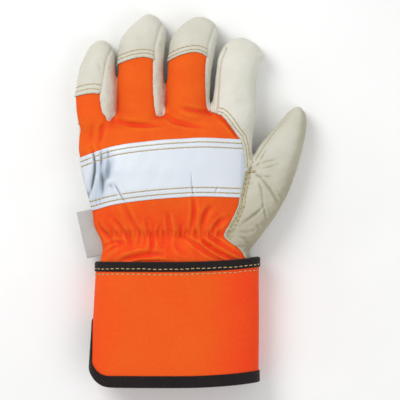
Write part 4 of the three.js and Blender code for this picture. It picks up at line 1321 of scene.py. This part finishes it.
class GLOVE_OT_bindings(bpy.types.Operator):
    """Make the black bindings of the cuff's edges"""

    bl_idname = "glove.bindings"
    bl_label = "Bindings"

    def execute(self, context):
        pattern, look = cuff_pattern(), settings("cuff")
        around = np.linspace(pattern.round, 0, int(pattern.round / CUFF_STEP), endpoint=False)
        top = np.stack([around, np.zeros(len(around))], axis=1)
        width = np.full(len(top), look.top_width * MM)
        binding("upper_binding", top, width, "cuff_top_binding", look.top_width * MM + 2.5)
        path = pattern.edge_path()
        # Round the corners the tape is drawn in, and looks narrower.
        corner = np.minimum(path[:, 0], pattern.round - path[:, 0]) - SPLIT_SHIFT - 8.5
        width = look.edge_width * MM - 2.6 * bump(np.hypot(corner, pattern.length - 8 - path[:, 1]), 7)
        binding("lower_binding", path, width, "cuff_edge_binding", look.edge_width * MM + 1.5)
        return {"FINISHED"}


class GLOVE_OT_label(bpy.types.Operator):
    """Make the bare satin label in the side seam"""

    bl_idname = "glove.label"
    bl_label = "Label"

    def execute(self, context):
        points = node_points("side_label")
        sine, cosine = math.sin(LABEL_TILT), math.cos(LABEL_TILT)
        turn = np.array([[cosine, sine], [-sine, cosine]])
        flat = points[:, :2] @ turn.T
        low, high = flat.min(axis=0), flat.max(axis=0)
        reach = high + [LABEL_IN_SEAM, 0]
        across, along = np.meshgrid(np.linspace(low[0], reach[0], 25), np.linspace(low[1], high[1], 45))
        # It bends down to its free corner, and waves a little.
        free, end = (high[0] - across) / (high[0] - low[0]), (high[1] - along) / (high[1] - low[1])
        level = points[:, 2].mean() + 0.5 - 1.3 * free * end + 0.8 * free * np.sin(end * 4)
        places = np.concatenate([np.stack([across, along], axis=-1) @ turn, level[..., None]], axis=-1)
        mesh = grid_mesh("bare_label", places)
        piece = walled("bare_label", mesh, satin_material(), "side_label", LABEL_WALL / MM)
        return {"FINISHED"}


# Stitching.


def level_lines(points, quads, field, allowed):
    """Polylines along field 0 over a surface, within the allowed quads."""
    corner = field[quads]
    mixed = (corner.min(axis=1) < 0) & (corner.max(axis=1) >= 0) & allowed[quads].all(axis=1)
    spots, links = {}, {}
    for quad in quads[mixed]:
        ends = []
        for a, b in zip(quad, np.roll(quad, -1)):
            if (field[a] < 0) != (field[b] < 0):
                a, b = min(a, b), max(a, b)
                part = field[a] / (field[a] - field[b])
                spots[a, b] = points[a] * (1 - part) + points[b] * part
                ends.append((a, b))
        if len(ends) == 2:
            links.setdefault(ends[0], []).append(ends[1])
            links.setdefault(ends[1], []).append(ends[0])
    lines, seen = [], set()
    for start in sorted(links, key=lambda k: (len(links[k]), k)):
        line, onward = [], [start] * (start not in seen)
        while onward:
            line.append(onward[0])
            seen.add(onward[0])
            onward = [k for k in links[onward[0]] if k not in seen]
        if len(line) > 5:
            lines.append(np.array([spots[key] for key in line]))
    return lines


def skin_rows(surface, field, allowed):
    """Stitch rows along field 0 on a lifted copy of the skin: spots, directions and normals."""
    skin, pitch, rows = hand_skin(), settings("stitch").pitch * MM, []
    for line in level_lines(surface, skin.quads, field, allowed):
        line = softened(line, 4)
        reach = reach_of(line)
        count = max(int(reach[-1] / pitch), 1)
        at = (np.arange(count) + 0.5) * reach[-1] / count
        spots, ahead, behind = (spots_at(line, reach, at + shift) for shift in (0, pitch / 3, -pitch / 3))
        nearest = [np.argmin(np.sum((surface - spot) ** 2, axis=1)) for spot in spots]
        rows.append((spots, ahead - behind, skin.normal[nearest]))
    return rows


@lru_cache(maxsize=None)
def stitch_shape():
    """Points and faces of one stitch, a blunt bead whose length is Z."""
    bm = bmesh.new()
    bmesh.ops.create_uvsphere(bm, u_segments=6, v_segments=6, radius=1)
    points = np.array([v.co[:] for v in bm.verts])
    faces = [[v.index for v in face.verts] for face in bm.faces]
    bm.free()
    radius = np.hypot(points[:, 0], points[:, 1])
    points[:, :2] *= (np.maximum(radius, 1e-9) ** -0.4)[:, None] * (radius > 1e-6)[:, None]
    points[:, 2] = np.sign(points[:, 2]) * np.abs(points[:, 2]) ** 0.8
    return points, faces


def sew(name, rows, stretch=1.0, thin=1.0):
    """One piece of stitches along rows of spots, directions and normals."""
    look = settings("stitch")
    spots, ways, normals = (np.concatenate(column) for column in zip(*rows))
    shape, faces = stitch_shape()
    long = unit(ways)
    side = unit(np.cross(normals, long))
    up = np.cross(long, side)
    half, thick = look.pitch * MM * 0.49 * stretch, look.width * MM / 2 * thin
    random = np.random.default_rng(len(spots))
    sway = random.normal(size=len(spots)) * 0.05
    axes = side * thick, up * thick * 0.75, unit(long + side * sway[:, None]) * half
    seats = (spots + up * thick * 0.3)[:, None]
    points = seats + sum(shape[:, i, None] * axis[:, None] for i, axis in enumerate(axes))
    count = len(shape)
    mesh = bpy.data.meshes.new(name)
    corners = [[i * count + v for v in face] for i in range(len(spots)) for face in faces]
    mesh.from_pydata((grounded(points.reshape(-1, 3)) / MM).tolist(), [], corners)
    layers = {"along": np.tile((shape[:, 2] + 1) / 2, len(spots))}
    layers["tone"] = np.repeat(random.random(len(spots)), count)
    for key, values in layers.items():
        mesh.attributes.new(key, "FLOAT", "POINT").data.foreach_set("value", values)
    linked(name, mesh, thread_material())


def leather_rows(skin):
    """The stitch rows of the fingertips' hems, and of the wing beside the back."""
    high = skin.rest[:, 2] > SEWN_ABOVE
    rows = []
    for name in TIPS:
        for reach in HEMS[name][1:]:
            rows += skin_rows(lifted(skin, name), skin.hem[name] - reach, high & (skin.field[name] < -0.5))
    index, thumb = (skin.hem[name] for name in WING)
    surface = np.where((index > thumb)[:, None], *(lifted(skin, name) for name in WING))
    x, y, _ = skin.rest.T
    own = high & (skin.off_wing < -0.5) & ((x > WING_LEFT) | (y < WING_ROOT))
    for reach, last in zip(HEMS["thumb"][1:], WING_ROW_ENDS):
        rows += skin_rows(surface, np.maximum(index, thumb) - reach, own & (y > last))
    return rows


def tape_rows(skin):
    surface = skin.points + skin.normal * (settings("tape").thickness * MM + TAPE_CLEARANCE - TAPE_DIP)
    band, on_tape = tape_field(skin.rest), (back_level(skin) < -2.9) & (skin.rest[:, 2] > TAPED_ABOVE)
    return [row for gap in TAPE_ROWS for row in skin_rows(surface, band + gap, on_tape)]


def cuff_rows():
    """One row on the upper binding and one just under it."""
    pattern, look = cuff_pattern(), settings("cuff")
    count = int(pattern.round / (settings("stitch").pitch * MM * 1.08))
    around = (np.arange(count) + 0.5) * pattern.round / count
    rows = []
    for down, out in ((look.top_width * MM * 0.66, look.binding * MM * 0.86), (look.top_width * MM + 1.9, 0.0)):
        down = down + 0.22 * np.sin(around / 9) + 0.12 * np.sin(around / 3.1)
        rows.append((pattern.point(around, down, out), pattern.run(around, down, 1), pattern.normal(around, down)))
    return rows


def bar_tack(skin):
    """Close stitches across the leather edge at the thumb's crotch."""
    spots = []
    for x in np.linspace(TACK.x - TACK.radius, TACK.x + TACK.radius, 8):
        near = np.hypot(skin.points[:, 0] - x, skin.points[:, 1] - TACK.y) < 1.2
        spots.append([x, TACK.y, skin.points[near][:, 2].max() + TACK.amount])
    return [(np.array(spots), np.tile([0.0, 1.0, 0.0], (len(spots), 1)), np.tile([0.0, 0.0, 1.0], (len(spots), 1)))]


class GLOVE_OT_stitching(bpy.types.Operator):
    """Sew the tan stitch rows of the hand and the cuff"""

    bl_idname = "glove.stitching"
    bl_label = "Stitching"

    def execute(self, context):
        skin = hand_skin()
        sew("leather_edge_stitches", leather_rows(skin), 1.0, 0.86)
        sew("crotch_tack", bar_tack(skin), 0.36, 0.85)
        sew("tape_stitches", tape_rows(skin))
        sew("cuff_stitches", cuff_rows(), 0.9, 0.76)
        return {"FINISHED"}


# The stage.


def placed(name, data, place, target=None):
    """An object of a light or camera at a place, looking at its target or straight down."""
    seat = bpy.data.objects.new(name, data)
    seat.location = place
    if target:
        seat.rotation_euler = (target - place).to_track_quat("-Z", "Y").to_euler()
    bpy.context.scene.collection.objects.link(seat)
    return seat


def area_light(name, place, target, size, power):
    light = bpy.data.lights.new(name, "AREA")
    light.shape = "DISK"
    light.size = size
    light.energy = power
    placed(name, light, place, target)


class GLOVE_OT_stage(bpy.types.Operator):
    """Set the floor, the lights and the camera over the glove"""

    bl_idname = "glove.stage"
    bl_label = "Stage"

    def execute(self, context):
        look, scene = settings("stage"), context.scene
        paint = Paint("floor_paper", look.floor)
        paint.over(paint.noise(90), linear("#F3F3F2"))
        bm = bmesh.new()
        bmesh.ops.create_grid(bm, x_segments=4, y_segments=4, size=3.0)
        bmesh.ops.translate(bm, verts=bm.verts, vec=(0, 0, -0.0003))
        mesh = mesh_of(bm, "floor")
        mesh.materials.append(paint.finished(0.9, paint.noise(3, 3), 0.02))
        placed("floor", mesh, Vector())
        scene.world = bpy.data.worlds.new("studio")
        scene.world.use_nodes = True
        sky = scene.world.node_tree.nodes["Background"]
        sky.inputs["Color"].default_value = (1, 1, 1, 1)
        sky.inputs["Strength"].default_value = look.sky
        centre = Vector(VIEW_CENTRE)
        area_light("key", centre + Vector((-0.75, 0.75, 1.1)), centre, 0.9, look.key)
        area_light("fill", centre + Vector((0.9, -0.5, 1.2)), centre, 1.2, look.fill)
        camera = bpy.data.cameras.new("camera")
        camera.sensor_width = SENSOR
        camera.lens = SENSOR * look.distance / look.view_width
        camera.clip_start, camera.clip_end = 0.1, 20
        scene.camera = placed("camera", camera, centre + Vector((0, 0, look.distance)))
        scene.view_settings.view_transform = "Standard"
        return {"FINISHED"}


class GLOVE_PT_panel(bpy.types.Panel):
    """Lists the glove's operators and their settings"""

    bl_idname = "GLOVE_PT_panel"
    bl_label = "Fitter glove"
    bl_space_type = "VIEW_3D"
    bl_region_type = "UI"
    bl_category = "Glove"

    def draw(self, context):
        for operator in OPERATORS:
            self.layout.operator(operator.bl_idname)
        for name, group in SETTINGS.items():
            box = self.layout.box()
            for key in group.__annotations__:
                box.prop(getattr(context.scene, name), key)


OPERATORS = [
    GLOVE_OT_leather,
    GLOVE_OT_fingers,
    GLOVE_OT_back,
    GLOVE_OT_tape,
    GLOVE_OT_cuff,
    GLOVE_OT_bindings,
    GLOVE_OT_label,
    GLOVE_OT_stitching,
    GLOVE_OT_stage,
]


def register():
    for name, group in SETTINGS.items():
        bpy.utils.register_class(group)
        setattr(bpy.types.Scene, name, bpy.props.PointerProperty(type=group))
    for kind in [*OPERATORS, GLOVE_PT_panel]:
        bpy.utils.register_class(kind)


def unregister():
    for kind in reversed([*OPERATORS, GLOVE_PT_panel]):
        bpy.utils.unregister_class(kind)
    for name, group in SETTINGS.items():
        delattr(bpy.types.Scene, name)
        bpy.utils.unregister_class(group)


def main():
    register()
    bpy.ops.glove.leather()
    bpy.ops.glove.fingers()
    bpy.ops.glove.back()
    bpy.ops.glove.tape()
    bpy.ops.glove.cuff()
    bpy.ops.glove.bindings()
    bpy.ops.glove.label()
    bpy.ops.glove.stitching()
    bpy.ops.glove.stage()


if __name__ == "__main__":
    main()
